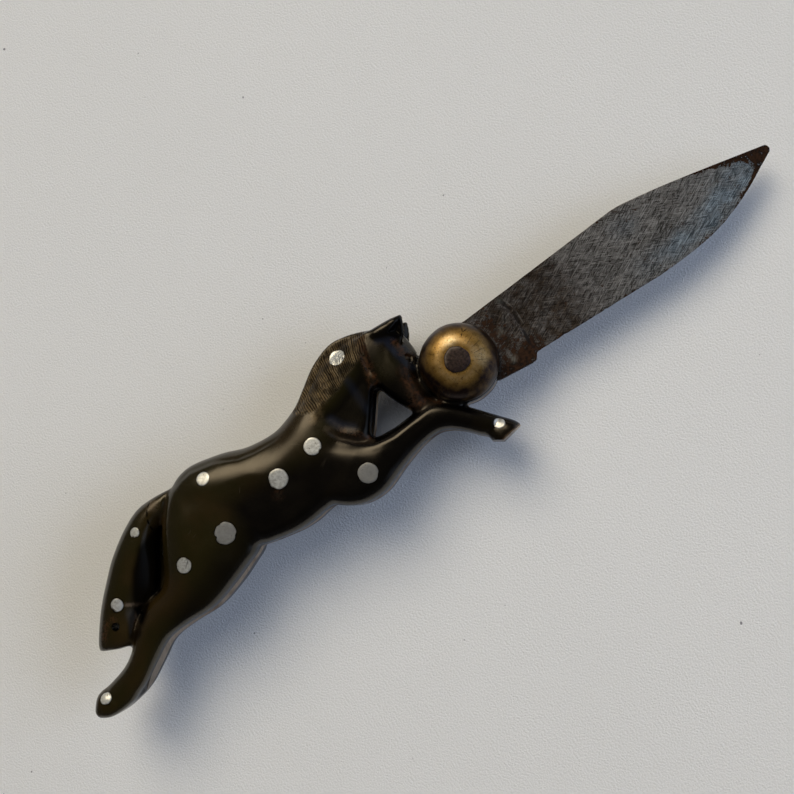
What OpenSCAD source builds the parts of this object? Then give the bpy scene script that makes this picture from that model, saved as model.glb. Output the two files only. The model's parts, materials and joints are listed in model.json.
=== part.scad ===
// A folding pocket knife whose horn handle is carved as a leaping horse.
// The blade turns on an iron pin between two brass domes, and folds into a slot sawn from the belly side.
// X runs along the open blade to its tip, Y runs up to the spine and the horse's back,
// and Z is the thickness: the horse's right side faces up and its left side rests on the table.

/* [Blade] */
// Length from the pivot to the tip
blade_length = 84; // [79:0.5:86]
// Thickness of the tang and the spine
blade_thickness = 2.4; // [1.8:0.1:3]
// Thickness left at the dull cutting edge
edge_thickness = 0.5; // [0.3:0.1:1]
// Length from the pivot to the step where the grind starts
ricasso_length = 15.2; // [13:0.2:17]
// Height of the spine above the pivot, at the start of the clip
spine_height = 9.1; // [8.4:0.1:10]
// Depth of the cutting edge below the pivot, at the belly of the blade
belly_depth = 9.4; // [8.8:0.1:9.8]
// Depth of the kick below the pivot, which stops the edge short of the slot's floor
kick_depth = 9; // [8.6:0.1:9.3]
// How far the blade turns from open to closed, in degrees
fold_angle = 176; // [174:0.5:177]

/* [Pivot] */
// Radius of the brass domes, and of the horn cheeks under them
dome_radius = 9; // [8.6:0.1:9.4]
// Height of a dome above its cheek
dome_height = 5.4; // [4.6:0.1:6.4]
// Wall of a dome
dome_wall = 0.9; // [0.6:0.1:1.4]
// Thickness of the horn cheek between a dome and the tang
cheek_thickness = 2.8; // [2.2:0.1:3.6]
// Radius of the iron pin
pin_radius = 1.6; // [1.2:0.1:2]
// Radius of the pin's hammered heads
pin_head_radius = 2.9; // [2.4:0.1:3.4]
// Height of a hammered head
pin_head_height = 0.8; // [0.5:0.1:1.2]
// Radius of the round tang
tang_radius = 7.6; // [7.2:0.1:8]
// Radius of the shoulder that stops the open blade
shoulder_radius = 8.8; // [8.4:0.1:9]

/* [Handle] */
// Thickness of the horn at the horse's body
horn_thickness = 14.4; // [12:0.2:16]
// Length of the horse from its jaw to its hind hoof
body_length = 97; // [95:0.5:102]
// Radius of the cord hole in the tail
cord_hole_radius = 0.9; // [0.6:0.1:1.2]
// How far the saw cut runs on past the tip of the closed blade
saw_runout = 22; // [16:0.5:24]

/* [Inlay] */
// Depth of the tin dots
dot_depth = 1.6; // [1:0.1:2]

/* [Clearances] */
// Gap on each side of the tang in the slot
side_gap = 0.12; // [0.08:0.01:0.3]
// Gap between the cutting edge and the slot's floor
edge_gap = 0.8; // [0.5:0.1:1.2]
// Gap at the stops of the open and the closed blade
stop_gap = 0.05; // [0.03:0.01:0.1]
// Gap round the pin in the tang
pin_gap = 0.05; // [0.02:0.01:0.08]
// Gap round the fixed pieces in their seats
seat_gap = 0.02; // [0.01:0.01:0.04]

/* [Hidden] */
DOTS = ["mane", "shoulder", "barrel", "chest", "croup", "flank", "thigh",
        "upper_tail", "lower_tail", "hind_hoof", "fore_hoof"];

// A point at a radius and an angle, and a point turned about the pivot
function polar(r, a) = [r * cos(a), r * sin(a)];
function turned(p, a) = [p.x * cos(a) - p.y * sin(a), p.x * sin(a) + p.y * cos(a)];
function arc(r, from, to, steps) = [for (i = [0 : steps]) polar(r, from + (to - from) * i / steps)];

// A smooth curve through every point of a list. Points may have any number of coordinates.
function clamped(list, i) = list[max(0, min(len(list) - 1, i))];
function curve_at(list, s) =
    let (i = min(floor(s), len(list) - 2), u = s - i,
         a = clamped(list, i - 1), b = list[i], c = list[i + 1], d = clamped(list, i + 2))
    0.5 * (2 * b + (c - a) * u + (2 * a - 5 * b + 4 * c - d) * u * u + (3 * b - a - 3 * c + d) * u * u * u);
function curve(list, steps) = [for (i = [0 : (len(list) - 1) * steps]) curve_at(list, i / steps)];

// The blade's outline, open, with the pivot at the origin
tip_radius = 1.1;
tang_end_angle = -64;
shoulder_angle = 96;
grind_length = blade_length - ricasso_length;
function along(share) = ricasso_length + share * grind_length;
tip_y = 0.3;
clip = curve([[along(0.49), spine_height], [along(0.63), 0.8 * spine_height],
              [along(0.8), 0.5 * spine_height], [blade_length - tip_radius, tip_y + tip_radius]], 5);
belly = curve([[blade_length - tip_radius, tip_y - tip_radius - 0.1], [along(0.84), -0.6 * belly_depth],
               [along(0.7), -0.9 * belly_depth], [along(0.52), -belly_depth],
               [along(0.33), -0.94 * belly_depth], [along(0.035), -0.82 * belly_depth]], 5);
tip = [for (p = arc(tip_radius, 72, -72, 6)) p + [blade_length - tip_radius, tip_y]];
kick = [[ricasso_length + 0.7, -0.82 * belly_depth], [ricasso_length, 0.4 - kick_depth],
        [ricasso_length - 0.4, -kick_depth], [ricasso_length - 1.6, -kick_depth - 0.1],
        [5.5, 0.9 - kick_depth]];
blade_outline = concat(
    arc(tang_radius, shoulder_angle, 360 + tang_end_angle, 24),
    [for (i = [len(kick) - 1 : -1 : 0]) kick[i]],
    [for (i = [len(belly) - 1 : -1 : 1]) belly[i]],
    [for (i = [len(tip) - 1 : -1 : 0]) tip[i]],
    [for (i = [len(clip) - 2 : -1 : 0]) clip[i]],
    [[6.5, 0.83 * spine_height]],
    arc(shoulder_radius, 62, shoulder_angle, 5));

// Levels up through the thickness
slot_width = blade_thickness + 2 * side_gap;
cheek_top = slot_width / 2 + cheek_thickness;
dome_top = cheek_top + dome_height;
knife_top = dome_top + pin_head_height;
cheek_radius = dome_radius + 0.1;

// Stations of the carved horse: a point on each edge of a limb, and the limb's half thickness there.
// The horse's back, mane and face are on the first edge, and its belly and throat on the second.
BARREL = [[-74, 12.6, -71, -2, 5], [-70, 15.8, -67, -6, 6.4], [-65, 16.7, -61.5, -8, 7.2],
          [-58, 15.2, -56.5, -9.4, 7.3], [-51, 12.6, -50.5, -10.5, 7.3], [-44, 11.8, -44.5, -10.2, 7],
          [-38, 13.4, -38, -8, 6.5], [-34, 15.3, -33, -4, 5]];
NECK = [[-46, 11.2, -43, 2, 4.6], [-38, 13.4, -36, 1.5, 5.6], [-33, 16.3, -30.5, -1.5, 5.8],
        [-28, 19.5, -26, -2.4, 5.6], [-22.5, 21.3, -22, 2, 5.4], [-17.5, 20.7, -18.6, 6.2, 5.2],
        [-12.5, 18.6, -15, 8, 4.8], [-10, 17, -12, 10, 4]];
HEAD = [[-9.3, 17.6, -17, 18.6, 3.4], [-7.2, 14.6, -18.6, 13, 4.7], [-6.5, 11.2, -18.6, 8.5, 5.3],
        [-6.6, 7.4, -17.9, 4.8, 5.4], [-7.8, 3, -16.8, 1.4, 5.1], [-8.6, -1.5, -15.4, -1.8, 4.9],
        [-9, -5, -13.2, -5, 4.2]];
FORELEG = [[-47, 6, -45, -6, 5], [-39, 5.6, -41, -10.4, 6.6], [-32.5, 1.6, -36, -13.8, 7.1],
           [-27, -2.3, -30, -14.3, 6.8], [-21, -3.4, -23.5, -12.1, 6.2], [-15, -3.3, -17.5, -10.5, 5.7],
           [-10, -3.6, -13, -10.1, 5.4], [-6.8, -5.9, -10.2, -11.1, 5.2], [-3.9, -9.2, -7.6, -13.3, 4.9],
           [-0.9, -12.8, -5.2, -16, 4.6], [1.4, -15.7, -4, -17.2, 4.3], [3, -18.3, -3.8, -18.2, 4.5],
           [2.4, -19.6, -2.6, -19.6, 4]];
HINDLEG = [[-66, 14.7, -56, 0, 5], [-71.5, 15.1, -60.5, -7.6, 6.6], [-77, 10.4, -65.5, -10.3, 7.2],
           [-81.4, 3.6, -71, -12.4, 6.9], [-85.5, -2.6, -77.5, -13.9, 6.3], [-91, -4.2, -84.5, -13.7, 5.7],
           [-95.8, -6.8, -90.5, -14.1, 5.3], [-99.4, -10.9, -96, -17, 4.9], [-103.4, -13.2, -101.5, -20, 4.5],
           [-108.8, -14.5, -107, -21.2, 4.3], [-112, -15, -111.4, -21.1, 4.3], [-114.5, -18, -114.2, -19.9, 3.2]];
TAIL = [[-69, 14.6, -71.5, 11, 3], [-75.5, 15.5, -77, 10.5, 4], [-81, 15.6, -81.7, 6, 4.6],
        [-86.6, 13.4, -84.8, 1, 4.8], [-92.2, 9.8, -88.4, -3.4, 4.8], [-97.6, 4.9, -92.5, -5.4, 4.8],
        [-102.3, -0.2, -95.8, -7.8, 4.6], [-105.9, -5, -98.4, -9.8, 4], [-106.8, -6.9, -101.5, -9.4, 2.8]];
LIMB_SHAPE = 3;
LIMB_STEPS = 2;

// Stations behind the jaw are spaced out to the length of the body, and all are as thick as the horn allows.
jaw_x = -18.5;
length_share = body_length / 97;
thickness_share = horn_thickness / 14.4;
function spaced(x) = x > jaw_x ? x : jaw_x + (x - jaw_x) * length_share;
function limb(stations) = [for (s = stations) [spaced(s[0]), s[1], spaced(s[2]), s[3], s[4] * thickness_share]];

// A point of a limb's skin: across is 1 at the first edge and -1 at the second
function skin(stations, s, across) =
    let (c = curve_at(stations, s), rise = pow(1 - pow(abs(across), LIMB_SHAPE), 1 / LIMB_SHAPE))
    [(c[0] + c[2]) / 2 + across * (c[0] - c[2]) / 2, (c[1] + c[3]) / 2 + across * (c[1] - c[3]) / 2, c[4] * rise];
function unit(v) = v / norm(v);
function skin_normal(stations, s, across) =
    let (n = cross(skin(stations, s + 0.02, across) - skin(stations, s - 0.02, across),
                   skin(stations, s, across + 0.02) - skin(stations, s, across - 0.02)))
    unit(n.z > 0 ? n : -n);

// One closed section of a limb
function power(x) = sign(x) * pow(abs(x), 2 / LIMB_SHAPE);
function section(c, sides) = [for (i = [0 : sides - 1])
    let (a = 360 * i / sides, u = power(cos(a)))
    [(c[0] + c[2]) / 2 + u * (c[0] - c[2]) / 2, (c[1] + c[3]) / 2 + u * (c[1] - c[3]) / 2, c[4] * power(sin(a))]];

// Whether a limb runs so that its first edge is on the left of its course
function first_edge_left(a, b) =
    (b[0] + b[2] - a[0] - a[2]) * (a[1] - a[3]) > (b[1] + b[3] - a[1] - a[3]) * (a[0] - a[2]);

// A limb lofted through its stations, with its sections in the order that turns its skin outwards
module loft(stations, sides = 16) {
    sections = curve(stations, LIMB_STEPS);
    last = len(sections) - 1;
    back = first_edge_left(stations[0], stations[1]);
    rings = [for (i = [0 : last]) section(sections[back ? last - i : i], sides)];
    points = [for (r = rings) each r];
    walls = [for (i = [0 : last - 1], j = [0 : sides - 1])
        let (k = (j + 1) % sides, a = i * sides, b = a + sides)
        each [[a + j, a + k, b + k], [a + j, b + k, b + j]]];
    caps = [[for (j = [sides - 1 : -1 : 0]) j], [for (j = [0 : sides - 1]) last * sides + j]];
    polyhedron(points, concat(walls, caps), convexity = 4);
}

// One ear, a leaning cone on one side of the poll
module ear(side) {
    hull() {
        translate([-10.6, 16.1, side * 3]) scale([1, 1, 0.8]) sphere(2.2, $fn = 14);
        translate([-4.9, 16.7, side * 4.6 * thickness_share]) sphere(0.5, $fn = 10);
    }
}

// The horse in the round, before the slot is sawn
module carved_horse() {
    loft(limb(BARREL));
    loft(limb(NECK));
    loft(limb(HEAD));
    loft(limb(FORELEG));
    loft(limb(HINDLEG));
    loft(limb(TAIL));
    for (side = [-1, 1]) ear(side);
}

// The closed blade's edge, from the tip to the kick, and the floor that the saw leaves above it
closed_edge = [for (i = [0 : 3 : len(belly) - 1]) turned(belly[i], -fold_angle)];
closed_kick = [for (p = kick) turned(p, -fold_angle)];
floor_y = max([for (p = closed_kick) p.y]) + stop_gap;
closed_tip = turned([blade_length, tip_y], -fold_angle);
bridge_angle = 117;
bridge_foot = tang_radius + 0.3;
slot_outline = concat(
    [[0, 0], polar(40, shoulder_angle + 0.4), [60, 40], [60, -60], [-150, -60]],
    [closed_tip + [-saw_runout, -0.75 * saw_runout], closed_tip + [-edge_gap, edge_gap]],
    [for (p = closed_edge) p + [0, edge_gap]],
    [[closed_kick[0].x - 1.5, floor_y], [-6.4, floor_y], polar(cheek_radius + 0.3, bridge_angle + 1.5),
     polar(bridge_foot, bridge_angle)]);

// The saw cut for the blade, with room for the round tang
module slot() {
    translate([0, 0, -slot_width / 2]) linear_extrude(slot_width) {
        polygon(slot_outline);
        circle(bridge_foot, $fn = 90);
    }
}

// Dots let into the horn: the limb, the place along it, the place across it, and the dot's radius
dot_places = [
    [limb(NECK), 4.05, 0.6, 2], [limb(BARREL), 6.05, 0.02, 2], [limb(BARREL), 4.4, 0.06, 2.3],
    [limb(FORELEG), 2.7, -0.18, 2.3], [limb(BARREL), 2.25, 0.6, 1.65], [limb(HINDLEG), 1.25, -0.41, 2.5],
    [limb(HINDLEG), 2.95, 0.22, 1.8], [limb(TAIL), 2.5, 0.3, 1.2], [limb(TAIL), 5.2, 0.05, 1.5],
    [limb(HINDLEG), 9.4, 0.35, 1.4], [limb(FORELEG), 10.05, 0.35, 1.3]];

// Turns from the knife's up direction to a skin's own, on either side of the horse
module on_skin(place, side) {
    p = skin(place[0], place[1], place[2]);
    n = skin_normal(place[0], place[1], place[2]);
    mirror([0, 0, side < 0 ? 1 : 0])
        translate(p) rotate([0, acos(n.z), atan2(n.y, n.x)]) children();
}

module dot(place, side) {
    color("gainsboro") on_skin(place, side)
        translate([0, 0, -dot_depth]) cylinder(h = dot_depth, r = place[3], $fn = 48);
}

module dot_socket(place, side) {
    sides = 20;
    on_skin(place, side) translate([0, 0, -dot_depth])
        cylinder(h = dot_depth + 3, r = (place[3] + seat_gap) / cos(180 / sides), $fn = sides);
}

// The horn, sawn for the blade and sunk for the domes and the dots. It fills the plank it is carved from.
module sawn_horse() {
    difference() {
        union() {
            intersection() {
                carved_horse();
                cube([400, 400, horn_thickness], center = true);
            }
            cylinder(h = 2 * cheek_top, r = cheek_radius, center = true, $fn = 64);
        }
        slot();
        for (side = [0, 1]) mirror([0, 0, side])
            translate([0, 0, cheek_top]) cylinder(h = 20, r = dome_radius + 0.15, $fn = 64);
        for (place = dot_places, side = [-1, 1]) dot_socket(place, side);
    }
}

module horn_handle() {
    color("#2a2118") difference() {
        resize([0, 0, horn_thickness]) sawn_horse();
        cylinder(h = 40, r = pin_radius + seat_gap, center = true, $fn = 48);
        cord_hole();
    }
}

// The hole for a cord, low in the tail
cord_hole_at = [-99, -4.7];
module cord_hole() {
    translate([spaced(cord_hole_at.x), cord_hole_at.y, 0])
        cylinder(h = 40, r = cord_hole_radius, center = true, $fn = 48);
}

// The blade, ground from the step at its ricasso down to the edge on both faces
module blade() {
    grind = atan((blade_thickness - edge_thickness) / 2 / (spine_height + belly_depth));
    color("slategray") difference() {
        translate([0, 0, -blade_thickness / 2]) linear_extrude(blade_thickness) polygon(blade_outline);
        cylinder(h = 10, r = pin_radius + pin_gap, center = true, $fn = 48);
        for (side = [0, 1]) mirror([0, 0, side])
            translate([ricasso_length, spine_height, blade_thickness / 2])
                rotate([grind, 0, 0]) translate([0, -40, 0]) cube([100, 80, 10]);
    }
}

// The iron pin, hammered over at both ends
module pivot_pin() {
    color("dimgray") {
        cylinder(h = 2 * dome_top, r = pin_radius, center = true, $fn = 48);
        for (side = [0, 1]) mirror([0, 0, side])
            translate([0, 0, dome_top]) rotate_extrude($fn = 60)
                polygon(concat([[0, 0], [pin_head_radius, 0]],
                    [for (i = [0 : 6]) let (a = 90 * i / 6)
                        [pin_head_radius * cos(a), pin_head_height * (0.3 + 0.7 * sin(a))]]));
    }
}

// A spun brass dome, hollow, with a flat crown where the pin's head sits
module dome(side) {
    crown = pin_head_radius + 0.3;
    bow = [for (i = [0 : 10]) let (a = 90 * i / 10)
        [crown + (dome_radius - crown) * cos(a), dome_height * sin(a)]];
    inner = [for (i = [0 : 10]) let (a = 90 * (10 - i) / 10)
        [crown - 0.5 + (dome_radius - crown - dome_wall + 0.5) * cos(a), (dome_height - dome_wall) * sin(a)]];
    color("darkgoldenrod") mirror([0, 0, side < 0 ? 1 : 0])
        translate([0, 0, cheek_top]) rotate_extrude($fn = 96)
            polygon(concat(bow, [[pin_radius + seat_gap, dome_height], [pin_radius + seat_gap, dome_height - dome_wall]],
                inner));
}

// The knife stands on its left dome, with the middle of its box over the origin
function reach(stations, place) = [for (c = curve(limb(stations), LIMB_STEPS)) c[place]];
box_middle = [(min(reach(HINDLEG, 0)) + blade_length) / 2,
              (max(reach(NECK, 1)) + min(reach(HINDLEG, 3))) / 2];
module placed() { translate([-box_middle.x, -box_middle.y, knife_top]) children(); }

placed() horn_handle();
placed() blade();
placed() pivot_pin();
placed() dome(1);  // right_dome
placed() dome(-1);  // left_dome
for (i = [0 : len(DOTS) - 1]) {
    placed() dot(dot_places[i], 1);
    placed() dot(dot_places[i], -1);
}
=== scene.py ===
# %% [markdown]
# # A horse-handled pocket knife
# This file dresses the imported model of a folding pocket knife. The knife has a horn handle
# carved as a leaping horse, tin dots let into the horn, two brass domes, an iron pin and a
# steel blade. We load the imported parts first: they fix every size and every joint.

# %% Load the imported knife
import json
import math

import bpy
import numpy as np
from mathutils import Matrix, Vector
from mathutils.bvhtree import BVHTree


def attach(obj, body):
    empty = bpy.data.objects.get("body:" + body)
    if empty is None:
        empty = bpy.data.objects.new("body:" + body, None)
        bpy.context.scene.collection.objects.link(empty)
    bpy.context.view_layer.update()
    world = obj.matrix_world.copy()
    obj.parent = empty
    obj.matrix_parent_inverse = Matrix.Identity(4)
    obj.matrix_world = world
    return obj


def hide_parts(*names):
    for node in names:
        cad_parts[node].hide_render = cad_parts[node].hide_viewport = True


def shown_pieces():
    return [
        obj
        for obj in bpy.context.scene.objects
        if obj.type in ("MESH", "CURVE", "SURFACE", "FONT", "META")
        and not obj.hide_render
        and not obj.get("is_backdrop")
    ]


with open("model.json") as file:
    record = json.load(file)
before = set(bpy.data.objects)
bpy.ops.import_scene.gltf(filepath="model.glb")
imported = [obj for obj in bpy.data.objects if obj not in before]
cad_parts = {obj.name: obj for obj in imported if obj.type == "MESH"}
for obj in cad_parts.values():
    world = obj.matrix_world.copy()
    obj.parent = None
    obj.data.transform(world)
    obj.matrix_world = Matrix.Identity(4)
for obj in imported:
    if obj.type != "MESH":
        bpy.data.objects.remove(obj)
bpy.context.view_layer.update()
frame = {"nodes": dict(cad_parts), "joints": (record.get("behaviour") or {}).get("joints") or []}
pivot = Vector(frame["joints"][0]["pos_m"])
print("packed nodes:", len(frame["nodes"]), "pivot at", tuple(round(v, 5) for v in pivot))

# %% [markdown]
# ## Working in millimetres
# A knife is easier to think about in millimetres from its pivot: X to the blade's tip, Y to
# the horse's back, Z towards us. Each piece is made there, and moved once into the packed
# frame when it is finished, with its place in its mesh and its object left at the origin.

# %% Small helpers for objects and edit mode
MM = 0.001
TO_FRAME = Matrix.Translation(pivot) @ Matrix.Scale(MM, 4)


def deselect():
    bpy.ops.object.select_all(action="DESELECT")


def pick(obj, *others):
    deselect()
    for o in (obj, *others):
        o.select_set(True)
    bpy.context.view_layer.objects.active = obj


def named(name):
    obj = bpy.context.object
    obj.name = obj.data.name = name
    return obj


def circle(name, points, fill="NGON"):
    deselect()
    bpy.ops.mesh.primitive_circle_add(vertices=points, radius=1, fill_type=fill)
    return named(name)


def edit(obj, *steps):
    """Runs operators in edit mode on all of a mesh."""
    pick(obj)
    bpy.ops.object.mode_set(mode="EDIT")
    bpy.ops.mesh.select_all(action="SELECT")
    for step in steps:
        step()
    bpy.ops.object.mode_set(mode="OBJECT")


def extrude_up():
    bpy.ops.mesh.extrude_region_move(TRANSFORM_OT_translate={"value": (0, 0, 1)})


def outward():
    bpy.ops.mesh.normals_make_consistent(inside=False)


def merge_doubles():
    bpy.ops.mesh.remove_doubles(threshold=1e-4)


def modify(obj, kind, **settings):
    pick(obj)
    modifier = obj.modifiers.new(kind.title(), kind)
    for key, value in settings.items():
        setattr(modifier, key, value)
    bpy.ops.object.modifier_apply(modifier=modifier.name)


def cut(obj, tool):
    modify(obj, "BOOLEAN", operation="DIFFERENCE", object=tool, solver="MANIFOLD")
    bpy.data.objects.remove(tool)


def join(obj, *others):
    pick(obj, *others)
    bpy.ops.object.join()
    return obj


def points_of(obj):
    co = np.empty(len(obj.data.vertices) * 3)
    obj.data.vertices.foreach_get("co", co)
    return co.reshape(-1, 3)


def place_points(obj, co):
    obj.data.vertices.foreach_set("co", np.ascontiguousarray(co, dtype=np.float32).ravel())
    obj.data.update()


def normals_of(obj):
    n = np.empty(len(obj.data.vertices) * 3)
    obj.data.vertex_normals.foreach_get("vector", n)
    return n.reshape(-1, 3)


def of_faces(faces, what):
    values = np.empty(len(faces) * 3)
    faces.foreach_get(what, values)
    return values.reshape(-1, 3)


def paint(obj, **layers):
    """Writes each layer, one number for each point of the mesh, where its finish reads it."""
    for name, values in layers.items():
        layer = obj.data.attributes.new(name, "FLOAT", "POINT")
        layer.data.foreach_set("value", np.clip(values, 0, 1).astype(np.float32))


# %% Measures for carving and painting: soft steps, lines, spots, outlines and waves
WAVE_COUNT, WAVE_GAIN = 9, 1.8


def smooth(x):
    x = np.clip(x, 0, 1)
    return x * x * (3 - 2 * x)


def to_line(co, line):
    """Distance in XY from each point to a bent line, and how far along the line it is, 0 to 1."""
    line = np.asarray(line, float)
    steps = np.hypot(*(line[1:] - line[:-1]).T)
    starts = np.concatenate([[0], np.cumsum(steps)])
    best, share = np.full(len(co), 1e9), np.zeros(len(co))
    for a, b, start, step in zip(line[:-1], line[1:], starts, steps):
        t = np.clip(((co[:, :2] - a) @ (b - a)) / step ** 2, 0, 1)
        d = np.hypot(*(co[:, :2] - a - t[:, None] * (b - a)).T)
        closer = d < best
        best[closer], share[closer] = d[closer], (start + t[closer] * step) / starts[-1]
    return best, share


def near(co, line, width):
    """1 on a bent line, and 0 from a width away. One point alone makes a round spot."""
    if len(line) == 1:
        return spot(co, *line[0], width)
    return smooth(1 - to_line(co, line)[0] / width)


def spot(co, x, y, radius, squeeze=(1, 1)):
    """1 at a point, and 0 from a radius away. A squeeze above 1 makes it slimmer that way."""
    return smooth(1 - np.hypot((co[:, 0] - x) * squeeze[0], (co[:, 1] - y) * squeeze[1]) / radius)


def inside(co, ring):
    """How deep in XY each point lies inside a closed outline. It is below 0 outside."""
    ring = np.asarray(ring, float)
    x, y = co[:, 0], co[:, 1]
    odd = np.zeros(len(co), bool)
    for (ax, ay), (bx, by) in zip(ring, np.roll(ring, -1, axis=0)):
        crosses = (ay > y) != (by > y)
        at = ax + (y - ay) * (bx - ax) / (by - ay if by != ay else 1e-9)
        odd ^= crosses & (x < at)
    d, _ = to_line(co, np.vstack([ring, ring[:1]]))
    return np.where(odd, d, -d)


def waves(co, scale, seed):
    """Soft noise between -1 and 1, from a few sine waves of set directions."""
    rng = np.random.default_rng(seed)
    total = np.zeros(len(co))
    for _ in range(WAVE_COUNT):
        direction = rng.normal(size=co.shape[1])
        direction *= rng.uniform(0.5, 1.6) / (scale * np.linalg.norm(direction))
        total += np.sin(co @ direction * 2 * np.pi + rng.uniform(0, 2 * np.pi))
    return total / WAVE_COUNT * WAVE_GAIN


# %% [markdown]
# ## Camera and light
# The photograph looks almost straight down on the knife, from a little to the horse's belly
# side, and is turned so that the blade points up to the right. The eye point and the lens
# were found by fitting the knife's outline and its dots to the photograph.

# %% Camera
AIM = (-16.09, 2.27)
LEAN = (0.0603, -0.1541)
EYE_DISTANCE = 230.6
ROLL = -0.5996
LENS_PIXELS = 1003.3
PHOTO_PIXELS = 794
SENSOR = 36

backwards = Vector((math.tan(LEAN[0]), math.tan(LEAN[1]), 1)).normalized()
rightwards = Vector((-math.sin(ROLL), math.cos(ROLL), 0)).cross(backwards).normalized()
upwards = backwards.cross(rightwards)
eye = TO_FRAME @ (Vector((*AIM, 0)) + backwards * EYE_DISTANCE)
camera = bpy.data.objects.new("camera", bpy.data.cameras.new("camera"))
camera.data.sensor_width = SENSOR
camera.data.lens = SENSOR * LENS_PIXELS / PHOTO_PIXELS
camera.data.clip_start = 0.01
turn = Matrix((rightwards, upwards, backwards)).transposed().to_4x4()
camera.matrix_world = Matrix.Translation(eye) @ turn
bpy.context.scene.collection.objects.link(camera)
bpy.context.scene.camera = camera
print("camera", round(camera.data.lens, 2), "mm lens at", tuple(round(v, 4) for v in eye))

# %% [markdown]
# The knife stands on the left head of its pin and on the belly of the rump, so the table
# is tilted a little against the blade's plane. The table is only stage: a pale painted board.

# %% Floor
FLOOR_SIZE, FLOOR_LEVEL = 3, -0.0001
FLOOR_TILT = math.radians(2.5)
deselect()
bpy.ops.mesh.primitive_plane_add(size=1)
floor = named("floor")
floor.data.transform(Matrix.Scale(FLOOR_SIZE, 4))
floor.matrix_world = (Matrix.Translation((pivot.x, 0, FLOOR_LEVEL))
                      @ Matrix.Rotation(-FLOOR_TILT, 4, "Y"))
floor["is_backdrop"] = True

# %% [markdown]
# The room and the finishes are small trees of nodes. A few helpers keep them readable: each adds
# one node and hands back its output. A finish reads Object coordinates in metres, so a noise of
# scale 1000 has cells of a millimetre, and its tone is built up in layers.

# %% Helpers for node trees
class Tree:
    """A node tree, and the few node shapes that the room and the finishes share."""

    def __init__(self, owner, coordinates):
        owner.use_nodes = True
        self.nodes, self.links = owner.node_tree.nodes, owner.node_tree.links
        self.place = self.nodes.new("ShaderNodeTexCoord").outputs[coordinates]

    def put(self, value, socket):
        if isinstance(value, bpy.types.NodeSocket):
            self.links.new(value, socket)
        else:
            socket.default_value = value

    def add(self, kind, inputs, **settings):
        """A new node: settings are its own, and inputs are by name or by number."""
        node = self.nodes.new("ShaderNode" + kind)
        for key, value in settings.items():
            setattr(node, key, value)
        for key, value in inputs.items():
            self.put(value, node.inputs[key])
        return node

    def calc(self, kind, a, b, clamp=False):
        return self.add("Math", {0: a, 1: b}, operation=kind, use_clamp=clamp).outputs[0]

    def times(self, a, b, clamp=False):
        return self.calc("MULTIPLY", a, b, clamp)

    def most(self, value, *others):
        for other in others:
            value = self.calc("MAXIMUM", value, other)
        return value

    def vector(self, kind, a, b=(0, 0, 0)):
        return self.add("VectorMath", {0: a, 1: b}, operation=kind).outputs["Value"]

    def span(self, value, low, high, to_low=0.0, to_high=1.0):
        """A soft step: to_low up to low, and to_high from high on."""
        return self.add("MapRange", {0: value, 1: low, 2: high, 3: to_low, 4: to_high},
                        interpolation_type="SMOOTHSTEP").outputs[0]

    def mix(self, share, a, b):
        node = self.add("Mix", {"Factor": share}, data_type="RGBA")
        for value, socket in zip((a, b), [s for s in node.inputs if s.type == "RGBA"]):
            self.put(value if isinstance(value, bpy.types.NodeSocket) else (*value, 1), socket)
        return next(s for s in node.outputs if s.type == "RGBA")


class Finish(Tree):
    """A material whose tone is built up in layers."""

    def __init__(self, name, **sockets):
        self.material = bpy.data.materials.new(name)
        super().__init__(self.material, "Object")
        self.shader = self.nodes["Principled BSDF"]
        self.tone = None
        for key, value in sockets.items():
            self.shader.inputs[key.replace("_", " ")].default_value = value

    def mapped(self, scale, turn=0.0, at=(0, 0, 0)):
        return self.add("Mapping", {"Vector": self.place, "Location": at, "Scale": scale,
                                    "Rotation": (0, 0, turn)}, vector_type="TEXTURE").outputs[0]

    def noise(self, scale, detail=3.0, rough=0.55, vector=None):
        return self.add("TexNoise", {"Vector": vector or self.place, "Scale": scale,
                                     "Detail": detail, "Roughness": rough}).outputs["Fac"]

    def cells(self, scale):
        return self.add("TexVoronoi", {"Vector": self.place, "Scale": scale}).outputs["Distance"]

    def painted(self, name):
        return self.add("Attribute", {}, attribute_name=name).outputs["Fac"]

    def broken(self, name, noise, low, high, least):
        """A painted layer that a noise breaks up, down to its least share."""
        return self.times(self.painted(name), self.span(noise, low, high, least, 1.0))

    def mark(self, start, end, width, level):
        """A thin mark that tapers to both ends, from one point of the knife to another, in mm."""
        start, end = Vector((*start, level)), Vector((*end, level))
        along = end - start
        reach = (along.length / 2 * MM, width / 2 * MM, 3 * MM)
        centre = pivot + (start + end) / 2 * MM
        away = self.vector("LENGTH", self.mapped(reach, math.atan2(along.y, along.x), centre))
        return self.span(away, 1.0, 0.55)

    def marks(self, width, level, *lines):
        """Several bent marks at once: each line is a row of points."""
        return self.most(0.0, *(self.mark(a, b, width, level)
                                for line in lines for a, b in zip(line[:-1], line[1:])))

    def clouds(self, noise, low, high, a, b):
        """One colour where a noise is low, and another where it is high."""
        return self.mix(self.span(noise, low, high), a, b)

    def lay(self, share, colour):
        self.tone = self.mix(share, self.tone, colour)

    def wear(self, value, strength, depth):
        """Bump of a depth in metres, laid over any bump that is there already."""
        node = self.add("Bump", {"Strength": strength, "Distance": depth, "Height": value})
        there = self.shader.inputs["Normal"].links
        if there:
            self.links.new(there[0].from_socket, node.inputs["Normal"])
        self.links.new(node.outputs[0], self.shader.inputs["Normal"])

    def done(self, **sockets):
        """Wires the tone and what else varies to the shader."""
        for key, value in {"Base_Color": self.tone, **sockets}.items():
            self.links.new(value, self.shader.inputs[key.replace("_", " ")])
        return self.material


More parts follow.
